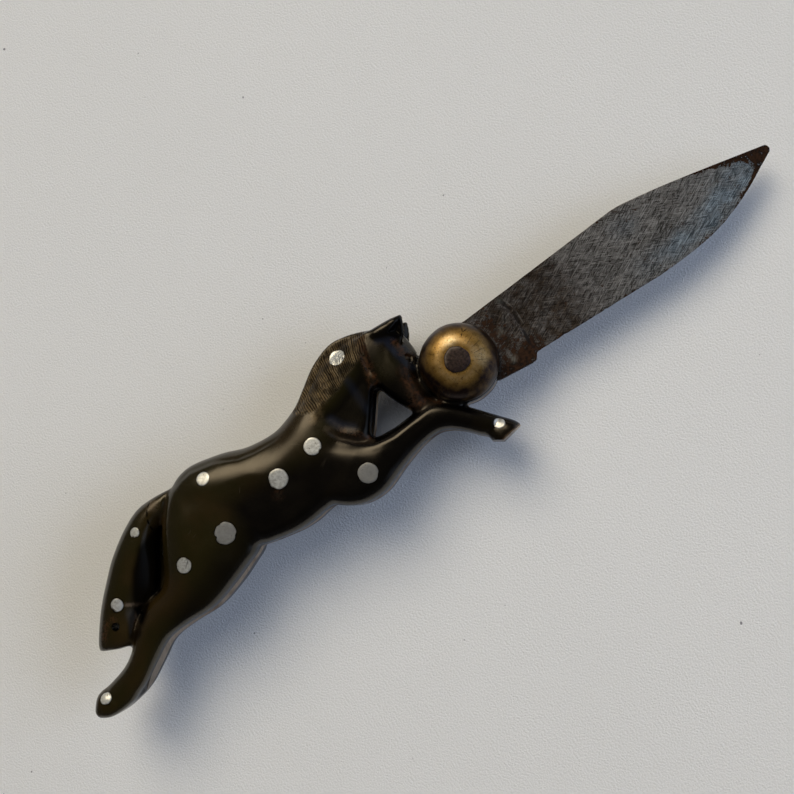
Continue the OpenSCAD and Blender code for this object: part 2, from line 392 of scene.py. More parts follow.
# %% [markdown]
# The light is plain: a large warm window on the side of the horse's back, and a weaker blue fill
# on the other side that lifts the shadows. Both lamps are kept out of reflections. What horn and
# metal mirror is the room: dim overhead, pale blue low on the side that the blade points to, and
# a warm glow at the window, whose edge is soft so that the highlights are soft too.

# %% Window light and room
def area_light(name, power, colour, size, at):
    light = bpy.data.objects.new(name, bpy.data.lights.new(name, "AREA"))
    light.data.energy, light.data.color, light.data.size = power, colour, size
    light.location = at
    light.rotation_mode = "QUATERNION"
    light.rotation_quaternion = Vector(at).to_track_quat("Z", "Y")
    light.visible_glossy = False
    bpy.context.scene.collection.objects.link(light)


area_light("window", 15.6, (1.0, 0.96, 0.88), 1.6, (0.10, 1.13, 1.62))
area_light("fill", 22.5, (0.63, 0.72, 0.94), 1.5, (1.55, -1.0, 0.95))

ZENITH = (0.032, 0.030, 0.026)
GLOWS = (  # colour, direction, and the cosines from it where the glow starts and is full
    ((0.050, 0.050, 0.054), (0, 0, 1), 0.85, 0.50),
    ((0.36, 0.45, 0.62), (0.72, -0.30, 0.10), 0.60, 0.90),
    ((4.4, 3.75, 2.75), (0.12, 1.38, 1.40), 0.915, 0.995))
room = bpy.data.worlds.new("room")
bpy.context.scene.world = room
sky = Tree(room, "Generated")
glow = ZENITH
for colour, towards, outer, inner in GLOWS:
    angle = sky.vector("DOT_PRODUCT", sky.place, Vector(towards).normalized())
    glow = sky.mix(sky.span(angle, outer, inner), glow, colour)
sky.links.new(glow, sky.nodes["Background"].inputs["Color"])
bpy.context.scene.view_settings.view_transform = "Standard"

# %% [markdown]
# ## Materials
# Painted board: off-white, with a fine orange-peel grain and a few specks.

# %% Floor finish
board = Finish("painted_board", Roughness=0.75)
board.tone = board.mix(board.noise(9, 2.0), (0.765, 0.78, 0.78), (0.825, 0.84, 0.84))
board.lay(board.span(board.noise(620, 1.0, 0.4), 0.185, 0.165), (0.25, 0.25, 0.27))
board.wear(board.noise(2100, 2.5, 0.6), 1.0, 0.00022)
floor.data.materials.append(board.done())

# %% [markdown]
# Horn: dark and glossy, nearly black along the belly and olive-brown along the back, with
# cloudy streaks along its growth. Painted layers add to it: rust and dirt sit in the grooves,
# painted shade fills the deepest places and takes their gloss, a painted blue sheen stands for
# the sky's reflection, and the hair of the mane is worn to a dry brown, with painted highlight
# on its ridges. A pale filler lies by the tail and leg, and painted highlights lie beside the
# tail's crack and along the fore hoof's edge. A crack and a few scratches are drawn as thin
# marks.

# %% Horn finish
TAIL_CRACK = [(-75.9, 16.2), (-77.0, 15.0), (-78.3, 13.8), (-79.4, 11.8), (-80.0, 10.3),
              (-80.3, 8.6)]
HORN_SCRATCHES = ([(-39.1, -1.9), (-35.5, -0.7)], [(-38.6, -2.3), (-36.4, -0.9)],
                  [(-42.3, 6.9), (-39.3, 4.6)], [(-72.6, 2.6), (-70.9, 3.4)],
                  [(-71.9, 1.5), (-70.6, 1.9)], [(-57.5, 3.5), (-56.2, 5.2)])

horn = Finish("horn", IOR=1.55, Specular_Tint=(1.0, 0.92, 0.80, 1))
streaks = horn.noise(60, 4.0, 0.6, horn.mapped((5, 1, 1), 0.35))
streaks = horn.span(streaks, 0.35, 0.75, -0.12, 0.18)
olive = horn.calc("ADD", horn.painted("olive"), streaks, clamp=True)
horn.tone = horn.mix(olive, (0.0006, 0.0004, 0.0004), horn.clouds(
    horn.noise(75, 3.0, 0.5), 0.4, 0.65, (0.0125, 0.0100, 0.0020), (0.0210, 0.0130, 0.0036)))
# Painted reflection: a bluish sheen that stands for the sky mirrored on the face, neck and tail.
horn.lay(horn.painted("bloom"), (0.010, 0.014, 0.026))
dirt = horn.broken("dirt", horn.noise(1300, 3.0), 0.3, 0.6, 0.5)
horn.lay(dirt, (0.022, 0.014, 0.008))
# The mane's dry brown, with its ridges lighter as a painted highlight.
horn.lay(horn.painted("hair"), horn.clouds(
    horn.noise(500, 3.0), 0.35, 0.65, (0.028, 0.018, 0.007), (0.160, 0.112, 0.054)))
rust = horn.broken("rust", horn.noise(1500, 4.0, 0.7), 0.36, 0.6, 0.1)
horn.lay(rust, horn.clouds(
    horn.noise(700), 0.35, 0.65, (0.026, 0.013, 0.007), (0.080, 0.030, 0.010)))
# Pale filler by the tail and leg, and painted highlights beside the tail's crack and along the fore
# hoof's edge.
pale = horn.broken("pale", horn.noise(1500, 4.0, 0.7), 0.3, 0.6, 0.4)
horn.lay(pale, (0.22, 0.155, 0.10))
# Painted shade: near black in the deepest places, with the tail's crack drawn into it as a dark
# line; it also takes their gloss below.
soot = horn.most(horn.painted("soot"), horn.marks(0.45, 4.0, TAIL_CRACK))
horn.lay(soot, (0.0006, 0.0005, 0.0005))
horn.lay(horn.times(horn.marks(0.16, 7.0, *HORN_SCRATCHES), 0.6), (0.030, 0.024, 0.016))
worn = horn.painted("worn")
gloss = horn.calc("ADD", horn.span(horn.noise(240, 4.0, 0.65), 0.3, 0.75, 0.20, 0.26),
                  horn.times(horn.most(dirt, rust, pale, worn), 0.34))
hairlines = horn.noise(420, 2.0, 0.5, horn.mapped((14, 1, 1), 0.6))
horn.wear(horn.span(hairlines, 0.56, 0.70), 0.10, 0.00006)
horn.wear(horn.noise(160, 3.0), 0.10, 0.00022)
horn_finish = horn.done(Roughness=gloss,
                        Specular_IOR_Level=horn.span(horn.most(soot, worn), 0.0, 1.0, 0.5, 0.08))

# %% [markdown]
# Where the saw has passed, the horn is not polished: it is tan, dry and ribbed by the teeth.

# %% Sawn horn finish
sawn = Finish("sawn_horn", Roughness=0.8)
teeth = sawn.noise(900, 2.0, 0.5, sawn.mapped((0.35, 3.5, 1), -0.45))
sawn.tone = sawn.mix(teeth, (0.44, 0.34, 0.23), (0.74, 0.61, 0.46))
sawn.lay(sawn.span(sawn.noise(170), 0.45, 0.75), (0.22, 0.15, 0.10))
sawn.wear(teeth, 0.5, 0.00012)
sawn_finish = sawn.done()

# %% [markdown]
# Tin: soft grey-white metal, filed flush with the horn and dulled, with small dark pits, a few
# deep strokes and, on some dots, a chipped rim. Painted shade makes some dots darker grey, most
# of all those on the belly side.

# %% Tin finish
TIN_STROKES = ([(-22.9, 15.6), (-22.3, 18.0)], [(-22.2, 15.3), (-21.2, 18.2)],
               [(-21.3, 15.2), (-20.5, 17.6)], [(-77.0, -3.2), (-74.9, -1.5)],
               [(-75.9, -1.4), (-75.6, -0.4)], [(-56.2, 1.6), (-55.2, 3.4)])

tin = Finish("tin", Metallic=0.62)
tin.tone = tin.clouds(tin.noise(1100, 4.0, 0.7), 0.38, 0.66, (0.84, 0.86, 0.83), (0.56, 0.57, 0.54))
pits = tin.times(tin.span(tin.cells(1300), 0.20, 0.12), tin.span(tin.noise(500), 0.48, 0.60))
tin.lay(pits, (0.16, 0.14, 0.10))
filed = tin.noise(1500, 2.0, 0.5, tin.mapped((0.3, 2.5, 1), 1.0))
tin.lay(tin.span(filed, 0.60, 0.70, 0.0, 0.5), (0.30, 0.28, 0.23))
strokes = tin.times(tin.marks(0.34, 6.0, *TIN_STROKES), 0.75)
tin.lay(tin.most(tin.painted("chip"), strokes), (0.035, 0.026, 0.018))
# Painted shade: some dots are painted darker grey, most on the belly side.
tin.lay(tin.painted("dull"), (0.22, 0.22, 0.215))
tin.wear(filed, 0.22, 0.00005)
tin_finish = tin.done(Roughness=tin.span(tin.noise(600, 4.0), 0.3, 0.7, 0.29, 0.40))

# %% [markdown]
# Brass: old and handled. It is golden where it rubs, with a painted highlight beside the pin,
# and brown to black towards the rim and, as painted shade, on the side away from the window. It
# has dark flecks, scratches that run out from the pin, and one forked scratch.

# %% Brass finish
BRASS_RAYS = ([(2.9, -2.2), (6.2, -4.0)], [(3.4, -0.9), (6.9, -1.2)], [(3.2, 1.2), (6.3, 2.9)],
              [(4.2, -3.6), (6.0, -5.2)], [(3.6, 0.2), (7.2, 0.9)], [(-3.5, 3.6), (-4.9, 5.4)],
              [(1.6, -3.6), (2.6, -6.4)])
BRASS_FORK = ([(3.4, 3.5), (4.4, 4.4), (5.9, 4.6)], [(4.4, 4.4), (5.0, 5.6)])

brass = Finish("old_brass", Metallic=0.75, Coat_Weight=0.15, Coat_Roughness=0.3)
blotches = brass.noise(420, 5.0, 0.7)
brass.tone = brass.clouds(blotches, 0.35, 0.68, (0.34, 0.192, 0.040), (0.50, 0.30, 0.086))
uneven = brass.span(blotches, 0.2, 0.75, 1.15, 0.85)
# Patina towards the rim, and painted shade on the dome's side away from the window.
brass.lay(brass.times(brass.painted("patina"), uneven, clamp=True), (0.014, 0.005, 0.003))
# Rubbed brass, and a painted highlight beside the pin.
brass.lay(brass.painted("rubbed"), (0.74, 0.60, 0.36))
flecks = brass.span(brass.noise(2600, 3.0, 0.7), 0.57, 0.66)
brass.lay(brass.times(flecks, 0.8), (0.050, 0.028, 0.014))
brass.lay(brass.times(brass.marks(0.26, 8.5, *BRASS_RAYS), 0.55), (0.060, 0.034, 0.016))
brass.lay(brass.marks(0.3, 8.0, *BRASS_FORK), (0.02, 0.012, 0.008))
brass.wear(brass.noise(800, 4.0, 0.6), 0.16, 0.00008)
brass_finish = brass.done(Roughness=brass.span(blotches, 0.3, 0.7, 0.30, 0.42))

# %% [markdown]
# Iron: hammered over cold, then left to rust to a dark purple-brown crust. A painted highlight
# lightens each head's rim on the window's side.

# %% Iron finish
iron = Finish("rusted_iron", Metallic=0.35, Roughness=0.62)
crust = iron.noise(1700, 5.0, 0.7)
iron.tone = iron.clouds(crust, 0.3, 0.7, (0.010, 0.0060, 0.005), (0.050, 0.030, 0.025))
# Painted highlight on each head's rim, on the window's side.
iron.lay(iron.painted("bare"), (0.30, 0.25, 0.20))
iron.wear(crust, 0.6, 0.00012)
iron_finish = iron.done()

# %% [markdown]
# Blade steel: ground by hand, so fine scratches, dark and light, cross all over it. A painted
# bluish reflection of the sky lies beside the edge's outer half, and it is brown towards the
# pivot, rusty along the clip, the tip and the kick, and pitted in between. Thin marks draw the
# plunge line and the bites in the spine, and lines of painted highlight run along the plunge's
# step and the spine's step.

# %% Steel finish
DARK_SCRATCHES = (  # scale, length, turn, and where the noise starts to show and shows in full
    (4300, 9, 0.46, 0.56, 0.68), (4600, 9, -0.50, 0.56, 0.68), (4800, 22, 0.50, 0.60, 0.68),
    (4800, 20, -0.44, 0.62, 0.70), (3600, 8, 0.95, 0.62, 0.70))
BRIGHT_SCRATCHES = (
    (4500, 10, 0.42, 0.57, 0.68), (5000, 24, 0.44, 0.60, 0.68), (5200, 20, -0.46, 0.60, 0.68))
PLUNGE_LINE = [(15.2, 8.6), (16.6, 3.2), (16.4, -1), (15.4, -6.2)]
PLUNGE_STEP = [(16.3, 7.4), (17.4, 3.2), (17.1, -1)]
SPINE_BITES = ([(33.5, 9.0), (41.5, 9.1)], [(48.5, 9.3), (53, 9.0)], [(24, 8.9), (27, 8.9)],
               [(63, 6.6), (68, 5.0)])
SPINE_STEP = [(25, 7.9), (30.6, 7.3), (36.1, 6.9)]

steel = Finish("blade_steel")


def scratches(rows):
    """Short straight lines: the peaks of noises that are stretched along them."""
    lines = []
    for scale, length, turn, low, high in rows:
        stretched = steel.noise(scale, 1.0, 0.5, steel.mapped((length, 1, 1), turn))
        lines.append(steel.span(stretched, low, high))
    return steel.most(*lines)


shines, cuts = scratches(BRIGHT_SCRATCHES), scratches(DARK_SCRATCHES)
contrast = steel.calc("ADD", steel.times(shines, 0.5), 0.45)
contrast = steel.calc("SUBTRACT", contrast, steel.times(cuts, 0.45), clamp=True)
worn_steel = steel.span(steel.noise(120, 4.0, 0.6), 0.40, 0.68)
contrast = steel.calc("SUBTRACT", contrast, steel.times(worn_steel, 0.15), clamp=True)
steel.tone = steel.mix(contrast, (0.036, 0.035, 0.034), (0.40, 0.405, 0.41))
# Painted reflection: the sky's bluish light laid into the colour beside the edge.
blue = steel.broken("bright", steel.noise(260, 3.0), 0.3, 0.65, 0.6)
steel.lay(blue, steel.mix(contrast, (0.065, 0.09, 0.115), (0.42, 0.525, 0.63)))
brown = steel.broken("patina", steel.noise(500, 5.0, 0.7), 0.3, 0.65, 0.72)
steel.lay(brown, steel.mix(contrast, (0.006, 0.004, 0.0028), (0.066, 0.050, 0.036)))
crust = steel.noise(900, 5.0, 0.75)
eaten = steel.calc("ADD", steel.painted("rust"), steel.span(crust, 0.3, 0.7, -0.6, 0.6))
eaten = steel.span(eaten, 0.42, 0.60)
steel.lay(eaten, steel.clouds(crust, 0.40, 0.62, (0.008, 0.005, 0.004), (0.036, 0.018, 0.010)))
clusters = steel.span(steel.noise(150, 2.0), 0.56, 0.66)
pitted = steel.times(steel.span(steel.cells(560), 0.15, 0.09), clusters)
pitted = steel.times(pitted, steel.painted("pitted"))
steel.lay(pitted, (0.010, 0.009, 0.009))
bitten = steel.most(steel.marks(1.1, 1.1, PLUNGE_LINE), steel.marks(0.7, 1.2, *SPINE_BITES))
steel.lay(steel.times(bitten, 0.85), (0.010, 0.008, 0.007))
# Painted highlight: light lines along the plunge's step and the spine's step.
steel.lay(steel.times(steel.marks(0.35, 1.2, SPINE_STEP, PLUNGE_STEP), 0.16), (0.30, 0.30, 0.28))
steel.lay(steel.painted("chalk"), (0.20, 0.21, 0.185))
dull = steel.most(eaten, pitted, brown)
steel.wear(contrast, 0.30, 0.00003)
steel.wear(eaten, 0.5, 0.00006)
steel_finish = steel.done(Specular_IOR_Level=steel.span(dull, 0.0, 1.0, 0.5, 0.08),
                          Roughness=steel.span(dull, 0.0, 1.0, 0.42, 0.72),
                          Metallic=steel.span(dull, 0.0, 1.0, 0.60, 0.12))
print("finishes:", ", ".join(m.name for m in bpy.data.materials if m.users or m.use_nodes))

# %% [markdown]
# ## The horn horse
# The real handle was sawn from horn, filed to the outline of a leaping horse, and rounded.
# We could sculpt it from one block, but its masses are easier to control as limbs that melt
# together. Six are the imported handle's own: barrel, neck, head, foreleg, hind leg and tail.
# Rump and withers lie across them and smooth the joins. Each limb is a loft through stations,
# and a station is a point on each of its edges and the half thickness there.

# %% Stations of the limbs
BARREL = [(-74, 12.6, -71, -2, 5), (-70, 15.8, -67, -6, 6.4), (-65, 16.7, -61.5, -8, 7.2),
          (-58, 15.2, -56.5, -9.4, 7.3), (-51, 12.6, -50.5, -10.5, 7.3),
          (-44, 11.8, -44.5, -10.2, 7), (-38, 13.4, -38, -8, 6.5), (-34, 15.3, -33, -4, 5)]
NECK = [(-46, 11.2, -43, 2, 4.6), (-38, 13.4, -36, 1.5, 5.6), (-33, 16.3, -30.5, -1.5, 5.8),
        (-28, 19.5, -26, -2.4, 5.6), (-22.5, 21.3, -22, 2, 5.4), (-17.5, 20.7, -18.6, 6.2, 5.2),
        (-12.5, 18.6, -15, 8, 4.8), (-10, 17, -12, 10, 4)]
HEAD = [(-9.3, 17.6, -17, 18.6, 4.7), (-7.2, 14.6, -18.6, 13, 5.3), (-6.5, 11.2, -18.6, 8.5, 5.4),
        (-6.6, 7.4, -17.9, 4.8, 5.4), (-7.8, 3, -16.8, 1.4, 5.1), (-8.6, -1.5, -15.4, -1.8, 4.9),
        (-9, -5, -13.2, -5, 4.2)]
FORELEG = [(-47, 6, -45, -6, 5), (-39, 5.6, -41, -10.4, 6.6), (-32.5, 1.6, -36, -13.8, 7.1),
           (-27, -2.3, -30, -14.3, 6.8), (-21, -3.4, -23.5, -12.1, 6.2),
           (-15, -3.3, -17.5, -10.5, 5.7), (-10, -3.6, -13, -10.1, 5.4),
           (-6.8, -5.9, -10.2, -11.1, 5.2), (-3.9, -9.2, -7.6, -13.3, 4.9),
           (-0.9, -12.8, -5.2, -16, 4.6), (1.4, -15.7, -4, -17.2, 4.3),
           (3.3, -18.5, -3.9, -18.4, 4.6), (3.4, -21.5, -3.6, -21.5, 4.6)]
HINDLEG = [(-66, 14.7, -56, 0, 5), (-71.5, 15.1, -60.5, -7.6, 6.6),
           (-77, 10.4, -65.5, -10.3, 7.2), (-81.4, 3.6, -71, -12.4, 6.9),
           (-85.5, -2.6, -77.5, -13.9, 6.3), (-91, -4.2, -84.5, -13.7, 5.7),
           (-95.8, -6.8, -90.5, -14.1, 5.3), (-99.4, -10.9, -96, -17, 4.9),
           (-103.4, -13.2, -101.5, -20, 4.5), (-108.8, -14.5, -107, -21.2, 4.3),
           (-112, -15, -111.4, -21.1, 4.3), (-114.5, -18, -114.2, -19.9, 3.2)]
RUMP = [(-60, 13.0, -52, -8.6, 7.1), (-66.5, 13.6, -58, -7.4, 7.2), (-71.8, 12.9, -63, -8.6, 7.2),
        (-76.4, 9.4, -67, -9.4, 7.1)]
WITHERS = [(-52, 12.2, -50, -8.6, 6.7), (-46.5, 11.5, -46, -9.9, 6.9),
           (-42, 11.6, -42, -10.2, 7.0), (-37.5, 13.0, -37.5, -10.6, 6.9),
           (-34, 13.6, -34.5, -10.5, 6.5)]
TAIL = [(-69, 14.6, -71.5, 11, 3), (-75.5, 15.5, -77, 10.5, 4), (-81, 15.6, -81.7, 6, 4.6),
        (-86.6, 13.4, -84.8, 1, 4.8), (-92.2, 9.8, -88.4, -3.4, 4.8),
        (-97.6, 4.9, -92.5, -5.4, 4.8), (-102.3, -0.2, -95.8, -7.8, 4.6),
        (-105.9, -5, -98.4, -9.8, 4), (-106.8, -6.9, -101.5, -9.4, 2.8)]

ROUND_BACK, ROUND_BELLY = 1.25, 0.45
BACKS = {"foreleg": 0.65, "withers": 1.1}


def section(u, half_width, half_thickness, back=ROUND_BACK):
    """Half height of a limb across its width: flat on top, and round at its edges."""
    reach = np.where(np.asarray(u) > 0, back, ROUND_BELLY) * half_thickness
    reach = np.minimum(reach, half_width)
    drop = np.minimum(reach, 0.9 * half_thickness)
    over = np.clip((np.abs(u) * half_width - (half_width - reach)) / reach, 0, 1)
    return half_thickness - drop + drop * np.sqrt(1 - over ** 2)


def curve_at(stations, s):
    """A smooth curve through every station, with s counting the stations from 0."""
    p = np.asarray(stations, float)
    s = np.atleast_1d(np.asarray(s, float))
    i = np.clip(np.floor(s).astype(int), 0, len(p) - 2)
    u = (s - i)[:, None]
    a, b, c, d = (p[np.clip(i + k, 0, len(p) - 1)] for k in (-1, 0, 1, 2))
    bend, twist = 2 * a - 5 * b + 4 * c - d, 3 * b - a - 3 * c + d
    return 0.5 * (2 * b + (c - a) * u + bend * u ** 2 + twist * u ** 3)


# %% [markdown]
# A limb starts as a round disc, which edit mode extrudes into a tall stack of rings. Then each
# ring goes to its place: a section of the limb, flat on top and round at its edges. The head,
# the tail and the ears are filed thinner towards one edge.

# %% Loft the limbs
RING_POINTS, RINGS_PER_STATION = 56, 8
SQUARENESS = 0.8
FACE_SLOPE, EAR_SLOPE, TAIL_FILED, TAIL_SPREAD = 0.3, 0.8, 0.8, 0.46


def tail_bevel(s):
    """How deep the tail's inner edge is filed away, from its root to its end."""
    return TAIL_FILED * smooth((s - 0.6) / 1.2) * smooth((6.4 - s) / 1.4)


def loft(name, stations, level=0.0):
    limb = circle(name, RING_POINTS)
    edit(limb, *[extrude_up] * ((len(stations) - 1) * RINGS_PER_STATION))
    stack = points_of(limb)
    s = np.round(stack[:, 2]) / RINGS_PER_STATION
    c = curve_at(stations, s)
    angle = np.arctan2(stack[:, 1], stack[:, 0])
    middle, half = (c[:, 0:2] + c[:, 2:4]) / 2, (c[:, 0:2] - c[:, 2:4]) / 2
    u, w = np.cos(angle), np.sin(angle)
    u = np.sign(u) * np.abs(u) ** SQUARENESS
    height = section(u, np.hypot(*half.T), c[:, 4], BACKS.get(name, ROUND_BACK))
    height *= np.sign(np.round(w, 6))
    if name == "tail":
        height *= 1 - tail_bevel(s) * np.clip((-u - 0.1) / 0.9, 0, 1) ** 1.2
        u *= 1 + TAIL_SPREAD * tail_bevel(s) * (w < 0) * (u < 0)
    if name == "head":
        height *= 1 - FACE_SLOPE * np.clip((u + 0.5) / 1.5, 0, 1) ** 1.4
    if name.endswith("ear"):
        height *= 1 - EAR_SLOPE * np.clip((0.45 - u) / 1.45, 0, 1)
    place_points(limb, np.column_stack([middle + u[:, None] * half, level + height]))
    edit(limb, outward)
    return limb


limbs = [loft(name, stations) for name, stations in (
    ("barrel", BARREL), ("neck", NECK), ("head", HEAD), ("foreleg", FORELEG), ("rump", RUMP),
    ("hindleg", HINDLEG), ("tail", TAIL), ("withers", WITHERS))]
print("limbs:", {limb.name: len(limb.data.polygons) for limb in limbs})

# %% [markdown]
# The ears are two more small lofts, one on each side of the head, and one short cylinder makes
# the round cheek under each dome. All of them are joined, and a voxel remesh turns the heap
# into one skin, as if it were cut from one block. Smoothing softens the seams between the
# limbs, and does so further at the shoulder and over the rump.

# %% Ears and cheek, then one skin
CHEEK_TOP, CHEEK_RADIUS, CHEEK_POINTS, HALF_HORN = 4.12, 9.1, 128, 7.2
SKIN_VOXEL, SKIN_SMOOTHING, FACE_MARGIN = 0.46, 7, 0.02
EAR_LEVEL, FAR_EAR_DROP = 3.4, 0.7
EAR = [(-13.5, 18.0, -9.5, 10.8, 1.6), (-11, 17.9, -7.6, 11.6, 1.9),
       (-8.6, 17.7, -6.2, 12.9, 1.7), (-6.2, 17.4, -5.2, 14.6, 1.2),
       (-4.5, 17.0, -4.4, 16.2, 0.6)]
SHOULDER_SEAM = [(-53, 9.4), (-48, 9.4), (-42, 10), (-36, 12.6), (-30, 10), (-28.5, 2),
                 (-24, -4.2), (-26, -8), (-34, -9), (-46, -5), (-53, 0)]
RUMP_SEAM = [(-75, 11), (-66, 13), (-54, 11), (-52, -6), (-58, -7.5), (-66, -7), (-76, 2)]

limbs.append(loft("near_ear", EAR, EAR_LEVEL))
limbs.append(loft("far_ear", EAR, -EAR_LEVEL))
limbs[-1].data.transform(Matrix.Translation((0, -FAR_EAR_DROP, 0)))
deselect()
bpy.ops.mesh.primitive_cylinder_add(vertices=CHEEK_POINTS, radius=CHEEK_RADIUS, depth=2 * CHEEK_TOP)
limbs.append(named("cheek"))
handle = join(*limbs)
handle.name = handle.data.name = "carved_handle"
modify(handle, "REMESH", mode="VOXEL", voxel_size=SKIN_VOXEL)
modify(handle, "SMOOTH", factor=0.5, iterations=SKIN_SMOOTHING)


def soften(obj, ring, edge, iterations):
    """Smooths the skin further inside an outline, where one limb flows into the next."""
    tenths = np.ceil(smooth(inside(points_of(obj), ring) / edge) * 10)
    group = obj.vertex_groups.new(name="soft")
    for tenth in range(1, 11):
        group.add(np.flatnonzero(tenths == tenth).tolist(), tenth / 10, "REPLACE")
    modify(obj, "SMOOTH", factor=0.5, iterations=iterations, vertex_group="soft")
    obj.vertex_groups.clear()


soften(handle, SHOULDER_SEAM, 2.0, 84)
soften(handle, RUMP_SEAM, 2.5, 46)
print("skin:", len(handle.data.polygons), "faces")

# %% [markdown]
# The mane, head and tail root need a finer skin than the flanks, so only those faces are
# divided again. Everything that follows is carving: each stroke is a bent line with a width
# and a depth, and moves the skin along its normal, on both sides of the horse.

# %% Finer skin where the carving is fine
MANE = [(-38.5, 13.2), (-33.5, 16.2), (-28.5, 19.9), (-24.1, 22), (-20, 22.4), (-16.2, 21.4),
        (-13.2, 19.4), (-13.9, 16.8), (-16.7, 13.9), (-19.2, 12.7), (-22.4, 11.9), (-25.6, 10.2),
        (-28.6, 9.9), (-31.2, 9.2), (-34.2, 9.6), (-37.2, 11.2)]
HEAD_SKIN = [(-20, 20), (-3, 18), (-5, 6), (-8, -2), (-15, -4.5), (-20, 3)]


def refine(obj, keep, cuts):
    """Divides the faces again whose centres pass a test."""
    pick(obj)
    bpy.ops.object.mode_set(mode="EDIT")
    bpy.ops.mesh.select_mode(type="FACE")
    bpy.ops.mesh.select_all(action="DESELECT")
    bpy.ops.object.mode_set(mode="OBJECT")
    obj.data.polygons.foreach_set("select", keep(of_faces(obj.data.polygons, "center")))
    bpy.ops.object.mode_set(mode="EDIT")
    bpy.ops.mesh.subdivide(number_cuts=cuts, smoothness=0)
    bpy.ops.object.mode_set(mode="OBJECT")


refine(handle, lambda c: (inside(c, MANE) > -0.5) & (np.abs(c[:, 2]) > 1.5), 2)
refine(handle, lambda c: ((inside(c, HEAD_SKIN) > 0) & (inside(c, MANE) < -0.5)
                          & (np.abs(c[:, 2]) > 1.2)), 1)
print("skin with fine places:", len(handle.data.polygons), "faces")

# %% Strokes
MANE_LOW = [(-38.5, 10.9), (-34.2, 9.6), (-28.6, 9.9), (-22.4, 11.9), (-16.7, 13.9),
            (-14.1, 16.7)]
NECK_HOLLOW = [(-34, 9.0), (-28.9, 9.4), (-22.6, 11.3), (-18.2, 13.2), (-17.8, 9.9), (-16.6, 6),
               (-17.4, 1), (-22.5, -3.8), (-26.6, -3.4), (-28.6, -1.3), (-31.4, 1.2), (-33, 4.1),
               (-34.2, 7.6)]
HIND_EDGE = [(-60, -9), (-65.5, -10.3), (-71, -12.4), (-77.5, -13.9), (-84.5, -13.7),
             (-90.5, -14.1), (-96, -17), (-101.5, -20), (-106, -21)]
HOOF_FILED = ((-1.7, -19.95), (3.4, -19.15)), ((-3.9, -18.5), (-1.7, -19.95))
FILE_REACH = 7
GROOVES = (  # line, width, depth, and the share of its length over which it fades at each end
    ([(-15.1, 17.6), (-16.5, 14.2), (-17.6, 9.9), (-18.1, 7.9)], 1.2, 0.4, 0.25),
    ([(-73, 13.2), (-70.5, 14.2), (-65.1, 15.2), (-59.4, 13.9), (-53.8, 11), (-49.8, 10.1),
      (-44.5, 9.6), (-40.7, 9.7)], 0.9, 0.13, 0.25),
    ([(-33.1, 4.4), (-31.6, 1.3), (-29.2, -1.2), (-26.0, -3.3)], 1.0, 0.55, 0.25),
    ([(-60.9, -3.6), (-60.2, -6.9), (-59.4, -9.6)], 2.4, 0.4, 0.4),
    ([(-42.9, -7.4), (-42.1, -9.7), (-41.2, -11.4)], 2.0, 0.18, 0.4),
    ([(-72.0, 14.8), (-74.9, 11.5), (-77.3, 7.9), (-79.4, 3.9)], 0.9, 0.5, 0.25),
    ([(-30.5, -2.2), (-26.3, -4.8), (-21.6, -5.9), (-15.9, -5.5), (-11.1, -5.2), (-7.9, -7)],
     1.3, -0.18, 0.25),
    ([(-3.9, -17.2), (-1.5, -16.3), (1.3, -14.6)], 0.9, 0.25, 0.15),
    ([(-109.6, -14.4), (-108.6, -17), (-107.6, -20)], 1.0, 0.2, 0.25))

skin = points_of(handle)
skin[:, 2] = np.clip(skin[:, 2], FACE_MARGIN - HALF_HORN, HALF_HORN - FACE_MARGIN)
place_points(handle, skin)
lean = normals_of(handle)
on_face = smooth((np.abs(skin[:, 2]) - 1.4) / 1.2) * (skin[:, 2] * lean[:, 2] > 0)


def stroke(line, width, depth, ends):
    """Carves a groove, or raises a ridge where depth is below 0, which fades at its ends."""
    d, share = to_line(skin, line)
    fade = smooth(share / ends) * smooth((1 - share) / ends) if ends else 1
    return -depth * smooth(1 - d / width) * fade * on_face


def hollow(ring, edge, depth):
    return -depth * smooth(inside(skin, ring) / edge) * on_face


def file_flat(co, start, end):
    """Files the horn flat, upright through a line: all that is on the line's right comes off."""
    start, end = np.asarray(start, float), np.asarray(end, float)
    out = np.array([end[1] - start[1], start[0] - end[0]]) / np.hypot(*(end - start))
    over = np.maximum((co[:, :2] - start) @ out, 0)
    reached = np.hypot(*(co[:, :2] - (start + end) / 2).T) < FILE_REACH
    co[:, :2] -= np.outer(np.where(reached, over, 0), out)


for line in HOOF_FILED:
    file_flat(skin, *line)
moves = np.zeros(len(skin))
moves += hollow(NECK_HOLLOW, 3.0, 0.6)
slope = np.minimum(to_line(skin, MANE_LOW)[0], 7)
moves -= 0.2 * slope * smooth(inside(skin, MANE) / 1.5) * on_face
for groove in GROOVES:
    moves += stroke(*groove)
moves += waves(skin, 9, 3) * 0.06
from_edge, way = to_line(skin, HIND_EDGE)
worn_in = smooth(1 - from_edge / 3.5) * smooth(way / 0.25) * smooth((1 - way) / 0.08)
worn_in *= smooth((skin[:, 2] + 1) / 2)
moves -= (0.28 + 0.22 * smooth((way - 0.5) / 0.3)) * worn_in * np.hypot(lean[:, 0], lean[:, 1])
skin += moves[:, None] * lean
place_points(handle, skin)
print("deepest stroke", round(float(-moves.min()), 2), "mm")

# %% [markdown]
# Ear and eye: the ear is hollowed towards its tip with a thin rim left standing, and the eye
# is a small hooked cut with a bead of horn in it.

